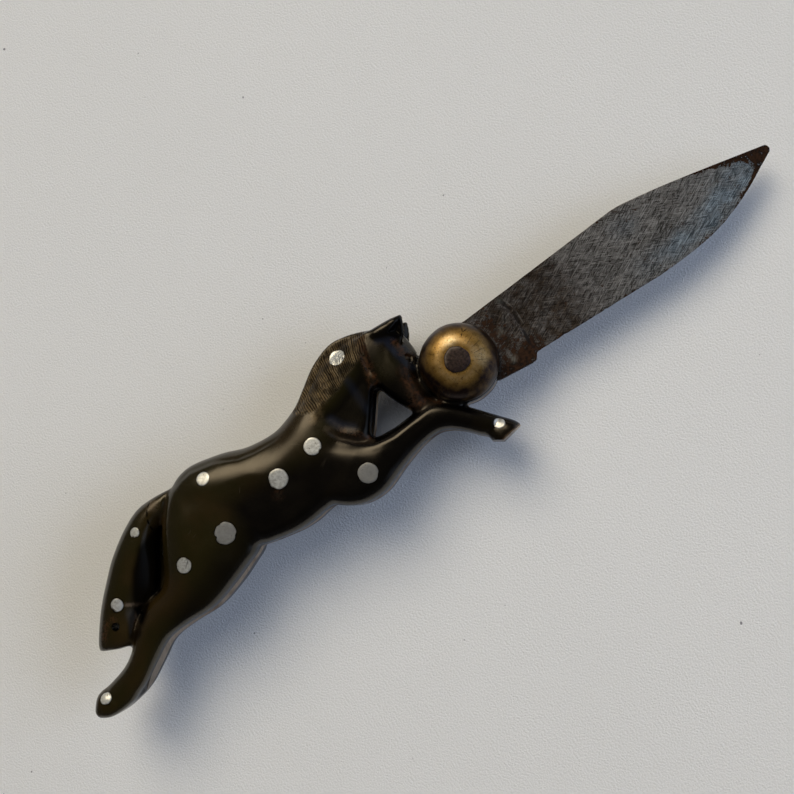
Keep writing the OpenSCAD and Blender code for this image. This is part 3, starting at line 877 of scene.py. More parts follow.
# %% Ear and eye
lean = normals_of(handle)
moves = hollow([(-10.2, 15.0), (-5.0, 16.6), (-5.6, 14.6), (-7.2, 12.4)], 1.4, 0.7)
for groove in (([(-9.2, 8.4), (-8.5, 8.3), (-8.1, 7.6), (-8.4, 6.8), (-9, 6.6)], 0.42, 0.45, 0.1),
               ([(-9.0, 7.6), (-8.9, 7.3)], 0.35, -0.2, 0),
               ([(-10.6, 12.6), (-12.4, 9), (-12.2, 4)], 1.6, -0.12, 0.25)):
    moves += stroke(*groove)
skin += moves[:, None] * lean
place_points(handle, skin)

# %% [markdown]
# Mane: a fan of file cuts half a millimetre apart, each of its own depth. They run straight
# down at the withers and lean forward towards the poll.

# %% Mane
HAIR_SPACING, HAIR_LEAN, HAIR_DEPTH = 0.57, np.radians(18), 0.27
HAIR_COUNT, FIRST_HAIR, HAIR_SEED = 200, -120, 21
MANE_RAISED, MANE_TOP = 0.10, 21.27


def mane_share():
    return smooth((inside(skin, MANE) + 0.1) / 0.8) * on_face


in_mane = mane_share()
fan = HAIR_LEAN * smooth((skin[:, 0] + 30) / 14)
hair = (skin[:, 0] + np.tan(fan) * (20 - skin[:, 1])) / HAIR_SPACING + 0.30 * waves(skin, 2.5, 8)
hair_depth = np.random.default_rng(HAIR_SEED).uniform(0.35, 1.0, HAIR_COUNT)
hair_depth = hair_depth[np.clip(np.floor(hair).astype(int) - FIRST_HAIR, 0, HAIR_COUNT - 1)]
hair_wave = (0.5 - 0.5 * np.cos(2 * np.pi * hair)) ** 1.6
hair_cut = hair_wave * hair_depth * in_mane
lean = normals_of(handle)
skin += (in_mane * MANE_RAISED - hair_cut * HAIR_DEPTH)[:, None] * lean
skin[:, 1] = np.minimum(skin[:, 1], MANE_TOP)
place_points(handle, skin)
print("hairs in the mane:", int(hair[in_mane > 0.5].max() - hair[in_mane > 0.5].min()))

# %% [markdown]
# The same kind of lines paint the skin: each layer is one number for each point of the mesh,
# which the horn's material reads by name. Stains, and the painted highlights and painted blue
# sheen among them, lie on both flanks. Painted shade is kept to the side that we see, apart from
# the mane, the saw's edges, the throat and a soft line down the head.

# %% Where the horn is stained and shaded
STAINS = {  # for each layer: a bent line or one point, how wide the stain is and how strong
    "rust": (
        ([(-15.1, 17.4), (-16.5, 14.2), (-17.6, 9.9), (-18.1, 7.9), (-18.9, 5.7)], 1.9, 0.8),
        ([(-30.6, 2.8), (-28.2, 0.4), (-26.4, -2.3)], 1.0, 0.65),
        ([(-11.4, 5.5), (-11.8, 1), (-12.6, -2.5)], 2.2, 0.85),
        ([(-9.6, 9.4), (-7.4, 7.9)], 1.2, 0.6), ([(-9.4, 12.6), (-9, 10.4)], 1.2, 0.7),
        ([(-14.6, -1.4), (-11, -3), (-8, -4.6)], 1.3, 0.6), ([(-103, -5.2), (-101, -3)], 1.6, 0.55),
        ([(-98.6, -3)], 1.6, 0.5), ([(-50, -1.5)], 2.2, 0.25),
        ([(-92.4, -3.4), (-94, -5.2), (-95.6, -7.4)], 1.2, 0.45)),
    "pale": (
        ([(-94.3, -1.9), (-93.2, -2.6), (-92.6, -3.2)], 0.55, 0.7),
        ([(-92.3, -3.0), (-91.3, -3.9), (-89.9, -4.0)], 0.4, 0.6),
        # the last stain here is a painted highlight beside the tail's crack
        ([(-93.2, -3.6), (-94.4, -5.2)], 0.4, 0.5), ([(-76.8, 13.7)], 2.4, 0.3)),
    "dirt": (
        ([(-33, 4.4), (-31.6, 1.3), (-29.2, -1.2), (-26, -3.3)], 1.3, 0.7),
        ([(-72, 14.8), (-74.9, 11.5), (-77.3, 7.9)], 0.8, 0.6),
        ([(-13, -3), (-8.6, -4.2)], 1.8, 0.6), ([(-8.6, 7.4)], 1.5, 0.8), ([(-11, 1)], 4.5, 0.45)),
    # painted blue sheen: the sky's reflection, painted on the face, the ear's base, the neck and
    # the tail
    "bloom": (
        ([(-10.8, 12.6), (-10.4, 9.8), (-10, 7.3), (-9.2, 5.2)], 1.3, 0.8),
        ([(-12.6, 14.6), (-9, 13)], 1.2, 0.6), ([(-31, 5.8), (-30, 3.5), (-28, 1.5)], 1.8, 0.6),
        ([(-23, 11), (-23, 3)], 1.6, 0.35), ([(-85, 5), (-89, 0)], 1.6, 0.35)),
    # the mane's hair, and a painted highlight on the neck's ridge just below the mane
    "hair": (([(-28.5, 13), (-31, 10.8), (-34, 8.4)], 2.4, 0.7),),
    "worn": (([(-50, 9), (-44, 8.6), (-38, 10.6), (-34, 9)], 4.0, 0.1),),
}
RUMP_SHADE = [(-57, -5), (-66, -8), (-74, -11), (-84, -12.5)]
HEAD_LINE = [(-14.5, 13), (-13, 8), (-12, 2), (-11.5, -2)]
THROAT = [(-19.3, 5.1), (-21, 2.6), (-25.1, -3.1), (-14.9, -2.8), (-16.3, 1.3), (-17, 4.3),
          (-19.3, 5.1)]
HOOF_EDGE = [(-1.9, -20), (3.4, -19.2)]
TAIL_BEVEL = [(-79.6, 10.4), (-85.0, 7.8), (-89.2, 4.0), (-93.4, -1.6), (-94.6, -5.8),
              (-93.4, -9), (-90.6, -7), (-89.2, -4.6), (-86, -4.1), (-81.5, 4.8), (-78, 8.4)]
TAIL_FOOT = [(-93.2, -2.6), (-95.8, -4.4), (-98.2, -8.6), (-97.6, -10.6), (-94.4, -9.8),
             (-92.2, -6)]
NEAR_EAR = [(-10.6, 15.4), (-4.3, 17.0), (-4.9, 15), (-6.7, 11.6), (-9, 12.4)]
SHADES = ((TAIL_BEVEL, 0.2, 1.6, 0.9), (NEAR_EAR, 0.0, 0.9, 0.85), (TAIL_FOOT, 0.3, 1.0, 0.75))

# %% Paint the horn
layers = {name: on_face * sum(amount * near(skin, line, width) for line, width, amount in rows)
          for name, rows in STAINS.items()}
# Painted highlight along the fore hoof's filed edge.
layers["pale"] += 0.55 * near(skin, HOOF_EDGE, 0.45) * smooth((skin[:, 2] - 1) / 2)
# Lighter on the mane's ridges and darker in its cuts: dry brown tone, painted highlight and painted
# shade.
layers["hair"] += mane_share() * (0.9 - 0.85 * hair_wave) * (0.8 + 0.6 * waves(skin, 3, 5))
layers["worn"] += 0.55 * in_mane + 0.25 * near(skin, HEAD_LINE, 4)

olive = 0.85 * smooth((skin[:, 1] + 2) / 9) * smooth((-8 - skin[:, 0]) / 20)
rump = 1 - 0.6 * near(skin, RUMP_SHADE, 9) * on_face
olive = np.maximum(olive, smooth((-56 - skin[:, 0]) / 10) * rump)
olive = np.maximum(olive, 0.75 * spot(skin, -13, 9, 8) * on_face)
olive += 0.12 * waves(skin, 12, 5) + in_mane * 0.25 * waves(skin, 3, 5)
olive *= 1 - 0.85 * smooth(inside(skin, NECK_HOLLOW) / 3)

# Painted shade: near black in the tail's bevel, the ear's hollow, the tail's foot, the eye, the
# mane's cuts, near the saw's edges, along a line down the head and on the throat's walls.
soot = sum(amount * smooth((inside(skin, ring) + margin) / edge)
           for ring, margin, edge, amount in SHADES) + 0.5 * spot(skin, -8.6, 7.4, 1.2)
soot = soot * (skin[:, 2] > 0) + 1.1 * hair_cut + 0.6 * (np.abs(skin[:, 2]) < 1.5)
soot = np.maximum(soot, 0.35 * smooth(1.4 - to_line(skin, HEAD_LINE)[0] / 4.5) * on_face)
upright = np.abs(lean[:, 2]) < np.where(skin[:, 1] > -1.5, 0.93, 0.5)
soot = np.maximum(soot, 0.9 * smooth((2.3 - to_line(skin, THROAT)[0]) / 0.8) * upright)
paint(handle, **layers, olive=olive, soot=soot)
print("painted layers:", [a.name for a in handle.data.attributes if a.data_type == "FLOAT"])

# %% [markdown]
# ## The blade's outline
# The saw slot has to take the closed blade, so the blade's outline comes before the saw. The
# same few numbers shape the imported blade.

# %% Outline of the blade
BLADE_LENGTH, BLADE_THICKNESS, EDGE_THICKNESS = 84.0, 2.4, 0.5
RICASSO, SPINE, BELLY, KICK, TIP_RADIUS, TIP_Y = 15.2, 9.1, 9.4, 9.0, 1.1, 0.3
TANG_RADIUS, SHOULDER_RADIUS, FOLD = 7.6, 8.8, math.radians(176)


def along(share):
    return RICASSO + share * (BLADE_LENGTH - RICASSO)


def curve(points, steps):
    return curve_at(points, np.arange((len(points) - 1) * steps + 1) / steps)


def arc(radius, start, end, steps):
    a = np.radians(np.linspace(start, end, steps + 1))
    return np.column_stack([radius * np.cos(a), radius * np.sin(a)])


def turned(points, a):
    x, y = np.asarray(points, float).T
    return np.column_stack([x * math.cos(a) - y * math.sin(a), x * math.sin(a) + y * math.cos(a)])


clip = curve([(along(0.49), SPINE), (along(0.63), 0.8 * SPINE), (along(0.8), 0.5 * SPINE),
              (BLADE_LENGTH - TIP_RADIUS, TIP_Y + TIP_RADIUS)], 8)
belly = curve([(BLADE_LENGTH - TIP_RADIUS, TIP_Y - TIP_RADIUS - 0.1), (along(0.84), -0.6 * BELLY),
               (along(0.7), -0.9 * BELLY), (along(0.52), -BELLY), (along(0.33), -0.94 * BELLY),
               (along(0.035), -0.82 * BELLY)], 8)
kick = [(RICASSO + 0.7, -0.82 * BELLY), (RICASSO, 0.4 - KICK), (RICASSO - 0.4, -KICK),
        (RICASSO - 1.6, -KICK - 0.1), (5.5, 0.9 - KICK)]
tip = arc(TIP_RADIUS, 72, -72, 10) + (BLADE_LENGTH - TIP_RADIUS, TIP_Y)
print("clip starts at x", round(float(clip[0, 0]), 1), "mm")

# %% [markdown]
# ## Sawing, boring and sinking
# The carved horse is cut like the real one: the blade's slot with a thin saw, flat seats for
# the domes, a bore for the pin, and a small hole through the tail for a cord. Each cutter is
# a solid of its own, and a Boolean modifier takes it away.

# %% Cutters for the slot, the seats and the bores
SLOT_HALF = BLADE_THICKNESS / 2 + 0.12
STOP_GAP, EDGE_GAP, SAW_RUNOUT, SHOULDER_ANGLE = 0.05, 0.8, 22.0, 96.4
DOME_RADIUS, PIN_RADIUS, SEAT_GAP, CORD_HOLE = 9.0, 1.6, 0.02, (-99.0, -4.7, 0.9)
THROUGH = 20


def round_outline(radius, points):
    return arc(radius, 0, 360 - 360 / points, points - 1)


def slab(name, outline, low, high):
    """A flat solid with a given outline, from one level to another."""
    obj = circle(name, len(outline))
    edit(obj, extrude_up)
    co = points_of(obj)
    turns = np.arctan2(co[:, 1], co[:, 0])
    order = np.round((turns - turns[0]) / (2 * np.pi) * len(outline)).astype(int) % len(outline)
    flat = np.asarray(outline, float)[order]
    place_points(obj, np.column_stack([flat, np.where(co[:, 2] > 0.5, high, low)]))
    edit(obj, outward)
    return obj


closed_kick = turned(kick, -FOLD)
floor_y = closed_kick[:, 1].max() + STOP_GAP
closed_tip = turned([(BLADE_LENGTH, TIP_Y)], -FOLD)[0]
slot_outline = np.vstack([
    [(0, 0)], arc(40, SHOULDER_ANGLE, SHOULDER_ANGLE, 0), [(60, 40), (60, -60), (-150, -60)],
    [closed_tip + (-SAW_RUNOUT, -0.75 * SAW_RUNOUT), closed_tip + (-EDGE_GAP, EDGE_GAP)],
    turned(belly[::3], -FOLD) + (0, EDGE_GAP),
    [(closed_kick[0, 0] - 1.5, floor_y), (-6.4, floor_y)],
    arc(CHEEK_RADIUS + 0.3, 118.5, 118.5, 0), arc(TANG_RADIUS + 0.3, 117, 117, 0)])
cut(handle, slab("saw_cut", slot_outline, -SLOT_HALF, SLOT_HALF))
cut(handle, slab("tang_room", round_outline(TANG_RADIUS + 0.3, 120), -SLOT_HALF, SLOT_HALF))
for low, high in ((CHEEK_TOP, THROUGH), (-THROUGH, -CHEEK_TOP)):
    cut(handle, slab("dome_seat", round_outline(DOME_RADIUS + 0.15, 144), low, high))
cut(handle, slab("pin_bore", round_outline(PIN_RADIUS + SEAT_GAP, 72), -THROUGH, THROUGH))
cord_bore = round_outline(CORD_HOLE[2], 36) + CORD_HOLE[:2]
cut(handle, slab("cord_bore", cord_bore, -THROUGH, THROUGH))
print("sawn handle:", len(handle.data.polygons), "faces")

# %% [markdown]
# ## Tin dots
# Eleven dots are let into each side. Each is a short plug with a slightly uneven outline, and
# its top was filed flush with the horn. Here each plug starts as a disc; its top is dropped
# onto the carved skin by a ray, and a cutter of the same outline sinks its socket.

# %% Where the dots sit
DOT_DEPTH, DOT_POINTS, SOCKET_GAP = 1.5, 48, 0.05
DOTS = {  # limb, place along it, place across it, radius, notches as (angle, size)
    "mane": (NECK, 4.05, 0.6, 2.0, [(60, 0.05)]),
    "shoulder": (BARREL, 6.05, 0.02, 2.0, [(-63, 0.16)]),
    "barrel": (BARREL, 4.4, 0.06, 2.3, [(156, 0.10), (176, 0.07), (-150, 0.06)]),
    "chest": (FORELEG, 2.7, -0.18, 2.3, [(-40, 0.05)]),
    "croup": (BARREL, 2.25, 0.6, 1.65, [(172, 0.08)]),
    "flank": (HINDLEG, 1.25, -0.41, 2.5, [(169, 0.17), (-43, 0.07), (95, 0.05)]),
    "thigh": (HINDLEG, 2.95, 0.22, 1.8, [(20, 0.05)]),
    "upper_tail": (TAIL, 2.5, 0.3, 1.2, [(-137, 0.2), (-100, 0.1)]),
    "lower_tail": (TAIL, 5.2, 0.05, 1.5, [(-161, 0.12)]),
    "hind_hoof": (HINDLEG, 9.4, 0.35, 1.4, [(70, 0.06), (-70, 0.06)]),
    "fore_hoof": (FORELEG, 10.05, 0.35, 1.3, [(150, 0.1), (-30, 0.08)]),
}
CHIPS = {  # dark bites at a dot's rim: angle, half width in degrees, depth as a share
    "shoulder": [(-63, 22, 0.25)], "barrel": [(165, 40, 0.2), (-150, 25, 0.2)],
    "flank": [(169, 16, 0.2)],
    "upper_tail": [(-137, 30, 0.45), (-100, 25, 0.3)], "lower_tail": [(-161, 55, 0.35)],
    "thigh": [(30, 14, 0.2)], "croup": [(172, 25, 0.15)], "hind_hoof": [(-110, 25, 0.2)],
}
# Painted shade for each dot: how much darker grey it is painted, most on the belly side.
DULL = {"flank": 0.75, "chest": 0.85, "thigh": 0.15, "barrel": 0.15}  # how grey a dot has gone


def limb_point(stations, s, across):
    c = curve_at(stations, s)[0]
    height = float(section(across, math.hypot(c[0] - c[2], c[1] - c[3]) / 2, c[4]))
    return np.array([(c[0] + c[2]) / 2 + across * (c[0] - c[2]) / 2,
                     (c[1] + c[3]) / 2 + across * (c[1] - c[3]) / 2, height])


def dot_place(stations, s, across, side):
    """The matrix that lays a disc flat on a limb, on the right (1) or left (-1) of the horse."""
    up = np.cross(limb_point(stations, s + 0.02, across) - limb_point(stations, s - 0.02, across),
                  limb_point(stations, s, across + 0.02) - limb_point(stations, s, across - 0.02))
    up *= np.sign(up[2]) / np.linalg.norm(up)
    at, up = Vector(limb_point(stations, s, across)), Vector(up)
    at.z, up.z = at.z * side, up.z * side
    ahead = (Vector((1, 0, 0)) - up * up.x).normalized()
    return Matrix.Translation(at) @ Matrix((ahead, up.cross(ahead), up)).transposed().to_4x4()


# %% Make each dot, and its socket's cutter
RAY_START, RAY_LENGTH = 4, 8


def dot_edge(angles, radius, notches, seed):
    """The uneven radius of a hammered plug, smaller where a chip is out."""
    rng = np.random.default_rng(seed)
    r = np.full(len(angles), radius)
    for k in (2, 3, 5, 8):
        r += radius * 0.011 * rng.uniform(0.4, 1) * np.cos(k * angles + rng.uniform(0, 6.3))
    for at, size in notches:
        off = (angles - math.radians(at) + math.pi) % (2 * math.pi) - math.pi
        r -= radius * size * np.exp(-(off / 0.16) ** 2)
    return r


def disc(name, fill, cuts, radius, notches, seed, grow, low, high):
    obj = circle(name, DOT_POINTS, fill)
    if cuts:
        edit(obj, lambda: bpy.ops.mesh.subdivide(number_cuts=cuts))
    edit(obj, extrude_up)
    co = points_of(obj)
    edge = dot_edge(np.arctan2(co[:, 1], co[:, 0]), radius, notches, seed) + grow
    level = np.where(co[:, 2] > 0.5, high, low)
    place_points(obj, np.column_stack([co[:, :2] * edge[:, None], level]))
    edit(obj, outward)
    return obj


skin_tree = BVHTree.FromObject(handle, bpy.context.evaluated_depsgraph_get())
dots, cutters = {}, []
for number, (where, (stations, s, across, radius, notches)) in enumerate(DOTS.items()):
    for side, word in ((1, "right"), (-1, "left")):
        place = dot_place(stations, s, across, side)
        seed = 100 + number if side > 0 else 200 + number
        cutter = disc("cutter", "NGON", 0, radius, notches, seed, SOCKET_GAP,
                      -DOT_DEPTH - SOCKET_GAP, 2)
        cutter.data.transform(place)
        cutters.append(cutter)
        dot = disc(f"{word}_{where}_dot_filed", "TRIFAN", 8, radius, notches, seed, 0,
                   -DOT_DEPTH, 0)
        co = points_of(dot)
        axis = place.to_3x3() @ Vector((0, 0, 1))
        for i in np.flatnonzero(co[:, 2] > -0.5):
            start = place @ Vector((co[i, 0], co[i, 1], RAY_START))
            hit, _, _, away = skin_tree.ray_cast(start, -axis, RAY_LENGTH)
            if hit:
                co[i, 2] = RAY_START - away
        top = co[:, 2] > -0.5
        rim = np.hypot(co[:, 0], co[:, 1]) / radius
        co[top, 2] += 0.03 - 0.05 * smooth((rim[top] - 0.93) / 0.07)
        place_points(dot, co)
        angle = np.degrees(np.arctan2(co[:, 1], co[:, 0]))
        chip = 0.55 * smooth((rim - 0.90) / 0.10)
        for at, wide, deep in CHIPS.get(where, ()):
            off = np.abs((angle - at + 180) % 360 - 180)
            chip += smooth(1 - off / wide) * smooth((rim - 1 + deep) / 0.15)
        # dull carries each dot's painted shade.
        paint(dot, chip=chip, dull=np.full(len(co), DULL.get(where, 0.0)))
        dot.data.transform(place)
        dots[f"{word}_{where}_dot"] = dot
cut(handle, join(*cutters))
print("dots:", len(dots), "- handle with sockets:", len(handle.data.polygons), "faces")

# %% [markdown]
# ## Domes
# A dome is spun from thin brass sheet: a profile turned once about the pin. We draw the
# profile as a closed ring of points, spin it, and dent it a little, as use has done.

# %% Spin a profile
DOME_HEIGHT, DOME_WALL, PIN_HEAD = 5.4, 0.9, 2.9
DOME_STEPS, PIN_STEPS = 176, 96
DOME_TOP = CHEEK_TOP + DOME_HEIGHT


def spun(name, profile, steps):
    """Turns a closed ring of (radius, height) points about Z."""
    obj = circle(name, len(profile), "NOTHING")
    co = points_of(obj)
    order = np.argsort(np.arctan2(co[:, 1], co[:, 0]) % (2 * np.pi) + 1e-6)
    co = np.zeros_like(co)
    co[order, 0], co[order, 2] = np.asarray(profile, float).T
    place_points(obj, co)
    edit(obj, lambda: bpy.ops.mesh.spin(steps=steps, angle=2 * math.pi, center=(0, 0, 0),
                                        axis=(0, 0, 1)),
         merge_doubles, lambda: bpy.ops.mesh.dissolve_degenerate(threshold=1e-5), outward)
    return obj


def dome_profile():
    crown = PIN_HEAD + 0.3
    a = np.linspace(0, np.pi / 2, 40)
    bow = np.column_stack([crown + (DOME_RADIUS - crown) * np.cos(a), DOME_HEIGHT * np.sin(a)])
    flat = [(r, DOME_HEIGHT) for r in np.linspace(crown - 0.3, PIN_RADIUS + 0.32, 6)]
    bore = [(PIN_RADIUS + 0.02, DOME_HEIGHT - 0.02), (PIN_RADIUS + 0.02, DOME_HEIGHT - DOME_WALL)]
    a = a[::-2]
    inner = np.column_stack([crown - 0.5 + (DOME_RADIUS - crown - DOME_WALL + 0.5) * np.cos(a),
                             (DOME_HEIGHT - DOME_WALL) * np.sin(a)])
    rim = [(DOME_RADIUS - DOME_WALL + 0.1, 0.0), (DOME_RADIUS - 0.12, 0.0),
           (DOME_RADIUS - 0.03, 0.06)]
    return np.vstack([bow[1:], flat, bore, inner, rim])


domes = {}
for side, word in ((1, "right"), (-1, "left")):
    dome = spun(f"{word}_dome_spun", dome_profile(), DOME_STEPS)
    co, out = points_of(dome), normals_of(dome)
    high = smooth(co[:, 2] / 1.2)
    dent = 0.05 * waves(co, 5, 40 + side) + 0.02 * waves(co, 1.6, 50 + side)
    co += (dent * high)[:, None] * out * (co[:, 2] < DOME_HEIGHT - 0.3)[:, None]
    ring = np.hypot(co[:, 0], co[:, 1])
    place_points(dome, co)
    angle = np.arctan2(co[:, 1], co[:, 0])
    # Painted shade: the dome's side away from the window is painted dark.
    low_left = 1.15 * smooth((np.cos(angle - math.radians(-115)) + 0.45) / 0.9)
    low_left *= smooth((ring - 4.2) / 3.4)
    rim = smooth((ring - 5.6) / 2.6)
    # Rubbed brass, with a painted highlight beside the pin on the window's side.
    rubbed = 0.5 * spot(co, 4.4, -1.9, 2.4, (1, 0.7)) + 0.8 * spot(co, 0.9, 4.4, 2.4, (0.8, 1))
    rubbed += 0.25 * smooth(1 - np.abs(ring - 4.2) / 1.4)
    rubbed *= 0.75 + 0.4 * waves(co, 1.1, 61)
    paint(dome, patina=np.maximum(low_left, rim) + 0.15 * waves(co, 3, 60), rubbed=rubbed)
    dome.data.transform(Matrix.Translation((0, 0, side * CHEEK_TOP))
                        @ Matrix.Diagonal((1, 1, side, 1)))
    if side < 0:
        edit(dome, outward)
    domes[f"{word}_dome"] = dome
print("domes:", {name: len(o.data.polygons) for name, o in domes.items()})

# %% [markdown]
# ## Pin
# The pin is iron wire, hammered over at both ends. Its heads are roughly eight-sided, because
# the hammer came down all round them. One spun profile makes the shaft and both heads.

# %% Pin
HEAD_SHAPE = [(PIN_RADIUS, 0.0), (2.35, 0.0), (2.75, 0.03), (2.9, 0.14), (2.92, 0.28),
              (2.82, 0.42), (2.6, 0.54), (2.3, 0.63), (1.9, 0.70), (1.5, 0.74), (1.1, 0.77),
              (0.7, 0.79), (0.35, 0.8), (0, 0.8)]

head = [(r, DOME_TOP + h) for r, h in HEAD_SHAPE]
profile = [(r, -z) for r, z in head[::-1]] + [(PIN_RADIUS, z) for z in (-6, -2, 2, 6)] + head
pin = spun("hammered_pin", profile, PIN_STEPS)
co = points_of(pin)
ring, angle = np.hypot(co[:, 0], co[:, 1]), np.arctan2(co[:, 1], co[:, 0])
at_head = smooth((np.abs(co[:, 2]) - DOME_TOP + 0.01) / 0.05) * smooth((ring - 0.6) / 2.0)
uneven = 0.016 * np.cos(8 * angle + 0.4) + 0.03 * np.cos(3 * angle + 1.0 + np.sign(co[:, 2]))
co[:, :2] *= (1 + at_head * uneven)[:, None]
inward = -0.09 * np.abs(waves(co, 1.7, 71)) - 0.05 * np.abs(waves(co, 0.8, 72))
on_top = smooth((np.abs(co[:, 2]) - DOME_TOP - 0.2) / 0.4)
co[:, 2] += np.sign(co[:, 2]) * inward * on_top
place_points(pin, co)
# Painted highlight: a light crescent on each head's rim, on the window's side.
struck = smooth(1 - np.abs(ring - 2.55) / 0.35) * smooth((np.cos(angle - 1.9) - 0.2) / 0.5)
paint(pin, bare=struck * on_top * 0.5)
head_radius = round(float(ring[np.abs(co[:, 2]) > DOME_TOP].max()), 2)
print("pin:", len(pin.data.polygons), "faces, head", head_radius, "mm")

# %% [markdown]
# ## Blade
# The smith forged a bar, ground both faces down to a dull edge, and left the ricasso thick.
# A flat grid is bent to the blade's outline column by column, extruded into a solid, and its
# faces are drawn together towards the edge. A bevel wears the corners, and small moves of the
# edge's points make its nicks.

# %% Columns of the blade
NICKS, NICK_SEED, NICKED_FROM, NICKED_TO = 16, 5, 20, 80
tang_top = arc(TANG_RADIUS, 180, 96, 30)
shoulder = np.vstack([arc(SHOULDER_RADIUS, 96, 62, 10), [(6.5, 0.83 * SPINE)]])
top_line = np.vstack([tang_top, shoulder, clip, tip[:6]])
bottom_line = np.vstack([arc(TANG_RADIUS, 180, 296, 40), kick[::-1], belly[::-1], tip[:5:-1]])
columns = np.unique(np.concatenate([
    np.linspace(-7.6, -6.4, 12), np.linspace(-6.4, 13.6, 60), np.linspace(13.6, 16.6, 26),
    np.linspace(16.6, 80, 190), np.linspace(80, 83.4, 18), np.linspace(83.4, 84, 10)]).round(5))
grind_from = smooth((columns - 15.6) / 2)
nicks = 0.05 * np.abs(waves(columns[:, None], 2.2, 11))
nicks += 0.03 * np.abs(waves(columns[:, None], 0.9, 12))
rng = np.random.default_rng(NICK_SEED)
for at, deep in zip(rng.uniform(NICKED_FROM, NICKED_TO, NICKS), rng.uniform(0.02, 0.07, NICKS)):
    nicks += deep * np.exp(-((columns - at) / rng.uniform(0.25, 0.7)) ** 2)
low = np.interp(columns, bottom_line[:, 0], bottom_line[:, 1])
low += nicks * grind_from * smooth((83 - columns) / 3)
high = np.interp(columns, top_line[:, 0], top_line[:, 1])
high -= 0.04 * np.abs(waves(columns[:, None], 3, 13)) * grind_from
level_high = sum(np.interp(columns + d, columns, high) for d in (-2, -1, 0, 1, 2)) / 5
high = np.where((columns > NICKED_FROM) & (columns < NICKED_TO), level_high, high)
high = np.maximum(high, low + 0.05)
print("blade:", len(columns), "columns, deepest nick", round(float(nicks.max()), 2), "mm")

# %% Shape the blade
ROWS = 44
PITS = (  # x, y and radius
    (39.3, -4, 0.45), (40.3, -4.1, 0.35), (49.6, -0.3, 0.4), (53.4, -4, 0.35),
    (73, -1.8, 0.5), (69.8, 0.7, 0.45), (72.2, -0.9, 0.4), (35.8, 0, 0.5))
PIT_DEPTH, PLUNGE_DEPTH, WORN_CORNER, PIN_GAP = 0.09, 0.07, 0.14, 0.05

deselect()
bpy.ops.mesh.primitive_grid_add(x_subdivisions=len(columns) - 1, y_subdivisions=ROWS, size=2)
blade = named("ground_blade")
edit(blade, extrude_up)
co = points_of(blade)
column = np.round((co[:, 0] + 1) / 2 * (len(columns) - 1)).astype(int)
row = (co[:, 1] + 1) / 2
x, y = columns[column], low[column] + row * (high[column] - low[column])
grind = (BLADE_THICKNESS - EDGE_THICKNESS) / 2 / (SPINE + BELLY)
ground = smooth((x - RICASSO) / 1.3)
half = BLADE_THICKNESS / 2 - ground * np.maximum(SPINE - y, 0) * grind - 0.03 * ground
half -= PLUNGE_DEPTH * np.exp(-((x - 16.5 + 0.12 * y) / 0.7) ** 2)
half -= 0.012 * np.abs(waves(np.column_stack([x, y]), 3.5, 31)) * ground
for pit_x, pit_y, wide in PITS:
    half -= PIT_DEPTH * np.exp(-(np.hypot(x - pit_x, y - pit_y) / wide) ** 2)
place_points(blade, np.column_stack([x, y, np.where(co[:, 2] > 0.5, half, -half)]))
edit(blade, outward)
modify(blade, "BEVEL", width=WORN_CORNER, segments=2, limit_method="ANGLE",
       angle_limit=math.radians(50))
cut(blade, slab("pin_hole", round_outline(PIN_RADIUS + PIN_GAP, 60), -THROUGH, THROUGH))
print("blade:", len(blade.data.polygons), "faces")

# %% Paint the blade
co = points_of(blade)
x, y = co[:, 0], co[:, 1]
above_edge = y - np.interp(x, columns, low)
below_spine = np.interp(x, columns, high) - y
rust = near(co, [(9, -8.2), (13, -7.4), (16, -5.8)], 3.8) + 0.5 * near(co, [(12.5, -3), (11, 4)], 3)
rust += smooth((x - 61) / 12) * smooth(1 - below_spine / (0.7 + 2.2 * smooth((x - 66) / 10)))
rust += 1.15 * smooth((x - 75.5) / 6.5) + 0.95 * smooth((x - 68) / 8) * smooth(1 - above_edge / 1.7)
rust += 0.3 * smooth((14 - x) / 4)
rust += 0.35 * smooth(1 - above_edge / 0.5) + 0.4 * smooth(1 - below_spine / 0.5)
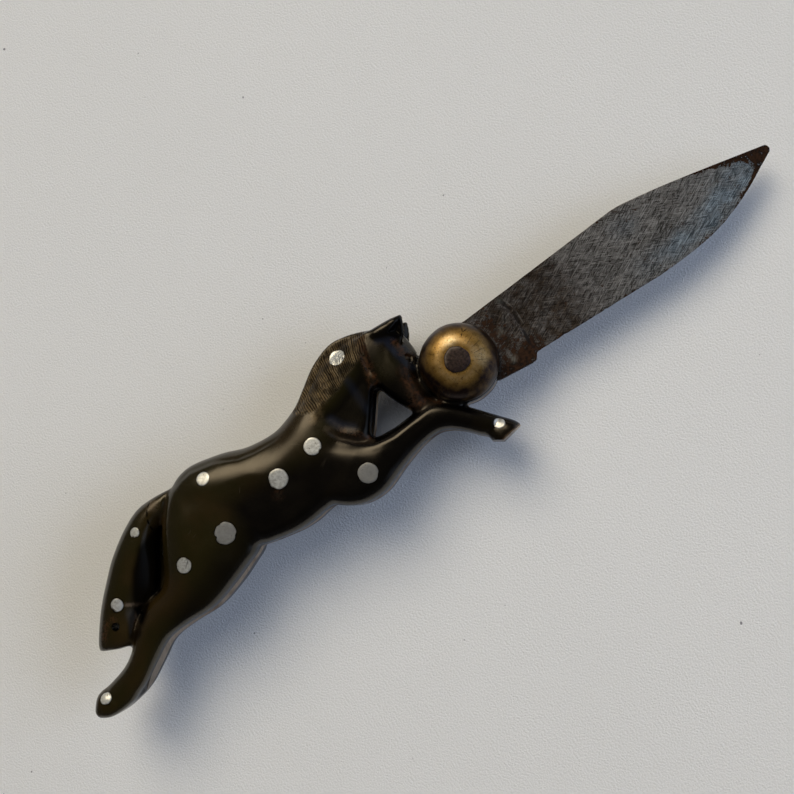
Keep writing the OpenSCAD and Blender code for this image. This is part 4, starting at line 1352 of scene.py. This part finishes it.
# Painted reflection: where the blade is painted bluish like the sky it mirrors.
bright = 1.25 * smooth((x - 40) / 20) * smooth(1 - np.abs(above_edge - 3.4) / 4.6)
bright += 0.3 * smooth((x - 58) / 14) + 0.1 * smooth((x - 70) / 8)
bright += 0.5 * spot(co, 48, 4.6, 6, (1, 1.4))
bright *= 0.75 + 0.35 * waves(co[:, :2], 7, 34)
patina = 1.2 - 1.2 * smooth((x - 20) / 28) + 0.3 * smooth((20 - x) / 5)
patina += 0.45 * spot(co, 62, 4, 9, (1, 2.2)) + 0.35 * spot(co, 47, 5, 9, (1, 1.5))
patina += 0.6 * near(co, [(16.0, -4.7), (16.6, 2), (15.8, 7)], 1.4)
chalk = 0.55 * spot(co, 10.6, -6, 1.5) + 0.4 * spot(co, 11.8, 0.6, 1.5)
chalk += 0.35 * spot(co, 15.6, 6.8, 1.2)
chalk *= 0.6 + 0.6 * waves(co[:, :2], 0.9, 33)
paint(blade, rust=rust, bright=bright, patina=patina, chalk=chalk,
      pitted=0.2 + smooth((x - 22) / 14))
print("blade's layers:", [a.name for a in blade.data.attributes if a.data_type == "FLOAT"])

# %% [markdown]
# ## Finish the pieces
# Each piece gets its material, is shaded smooth except at sharp corners, moves into the packed
# frame, and rides on its body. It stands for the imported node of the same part.

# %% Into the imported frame
SHARP_CORNER = math.radians(38)
SAWN_FLATNESS, SAWN_MARGIN = 0.95, 0.04


def finish_piece(obj, body, node, slot, *finishes):
    obj.data.materials.clear()
    for finish in finishes:
        obj.data.materials.append(finish)
    pick(obj)
    bpy.ops.object.shade_smooth_by_angle(angle=SHARP_CORNER)
    obj.data.transform(TO_FRAME)
    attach(obj, body)
    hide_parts(node)


finish_piece(handle, "handle", "horn_handle", "horn", horn_finish, sawn_finish)
faces = handle.data.polygons
level = of_faces(faces, "center")[:, 2] / MM - pivot.z / MM
on_level = np.abs(np.abs(level) - SLOT_HALF) < SAWN_MARGIN
in_cut = (np.abs(of_faces(faces, "normal")[:, 2]) > SAWN_FLATNESS) & on_level
faces.foreach_set("material_index", in_cut.astype(np.int32))
for name, dot in dots.items():
    finish_piece(dot, "handle", name, "dot_tin", tin_finish)
for name, dome in domes.items():
    finish_piece(dome, "handle", name, "dome_brass", brass_finish)
finish_piece(pin, "handle", "pivot_pin", "pin_iron", iron_finish)
finish_piece(blade, "blade", "blade", "blade_steel", steel_finish)
print("sawn faces:", int(in_cut.sum()), "of", len(faces))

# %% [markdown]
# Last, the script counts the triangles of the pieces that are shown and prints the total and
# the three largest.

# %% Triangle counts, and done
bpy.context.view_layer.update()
triangles = {o.name: sum(len(p.vertices) - 2 for p in o.data.polygons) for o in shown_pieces()}
largest = sorted(triangles.items(), key=lambda t: -t[1])[:3]
print("triangles:", sum(triangles.values()), "most:", largest)
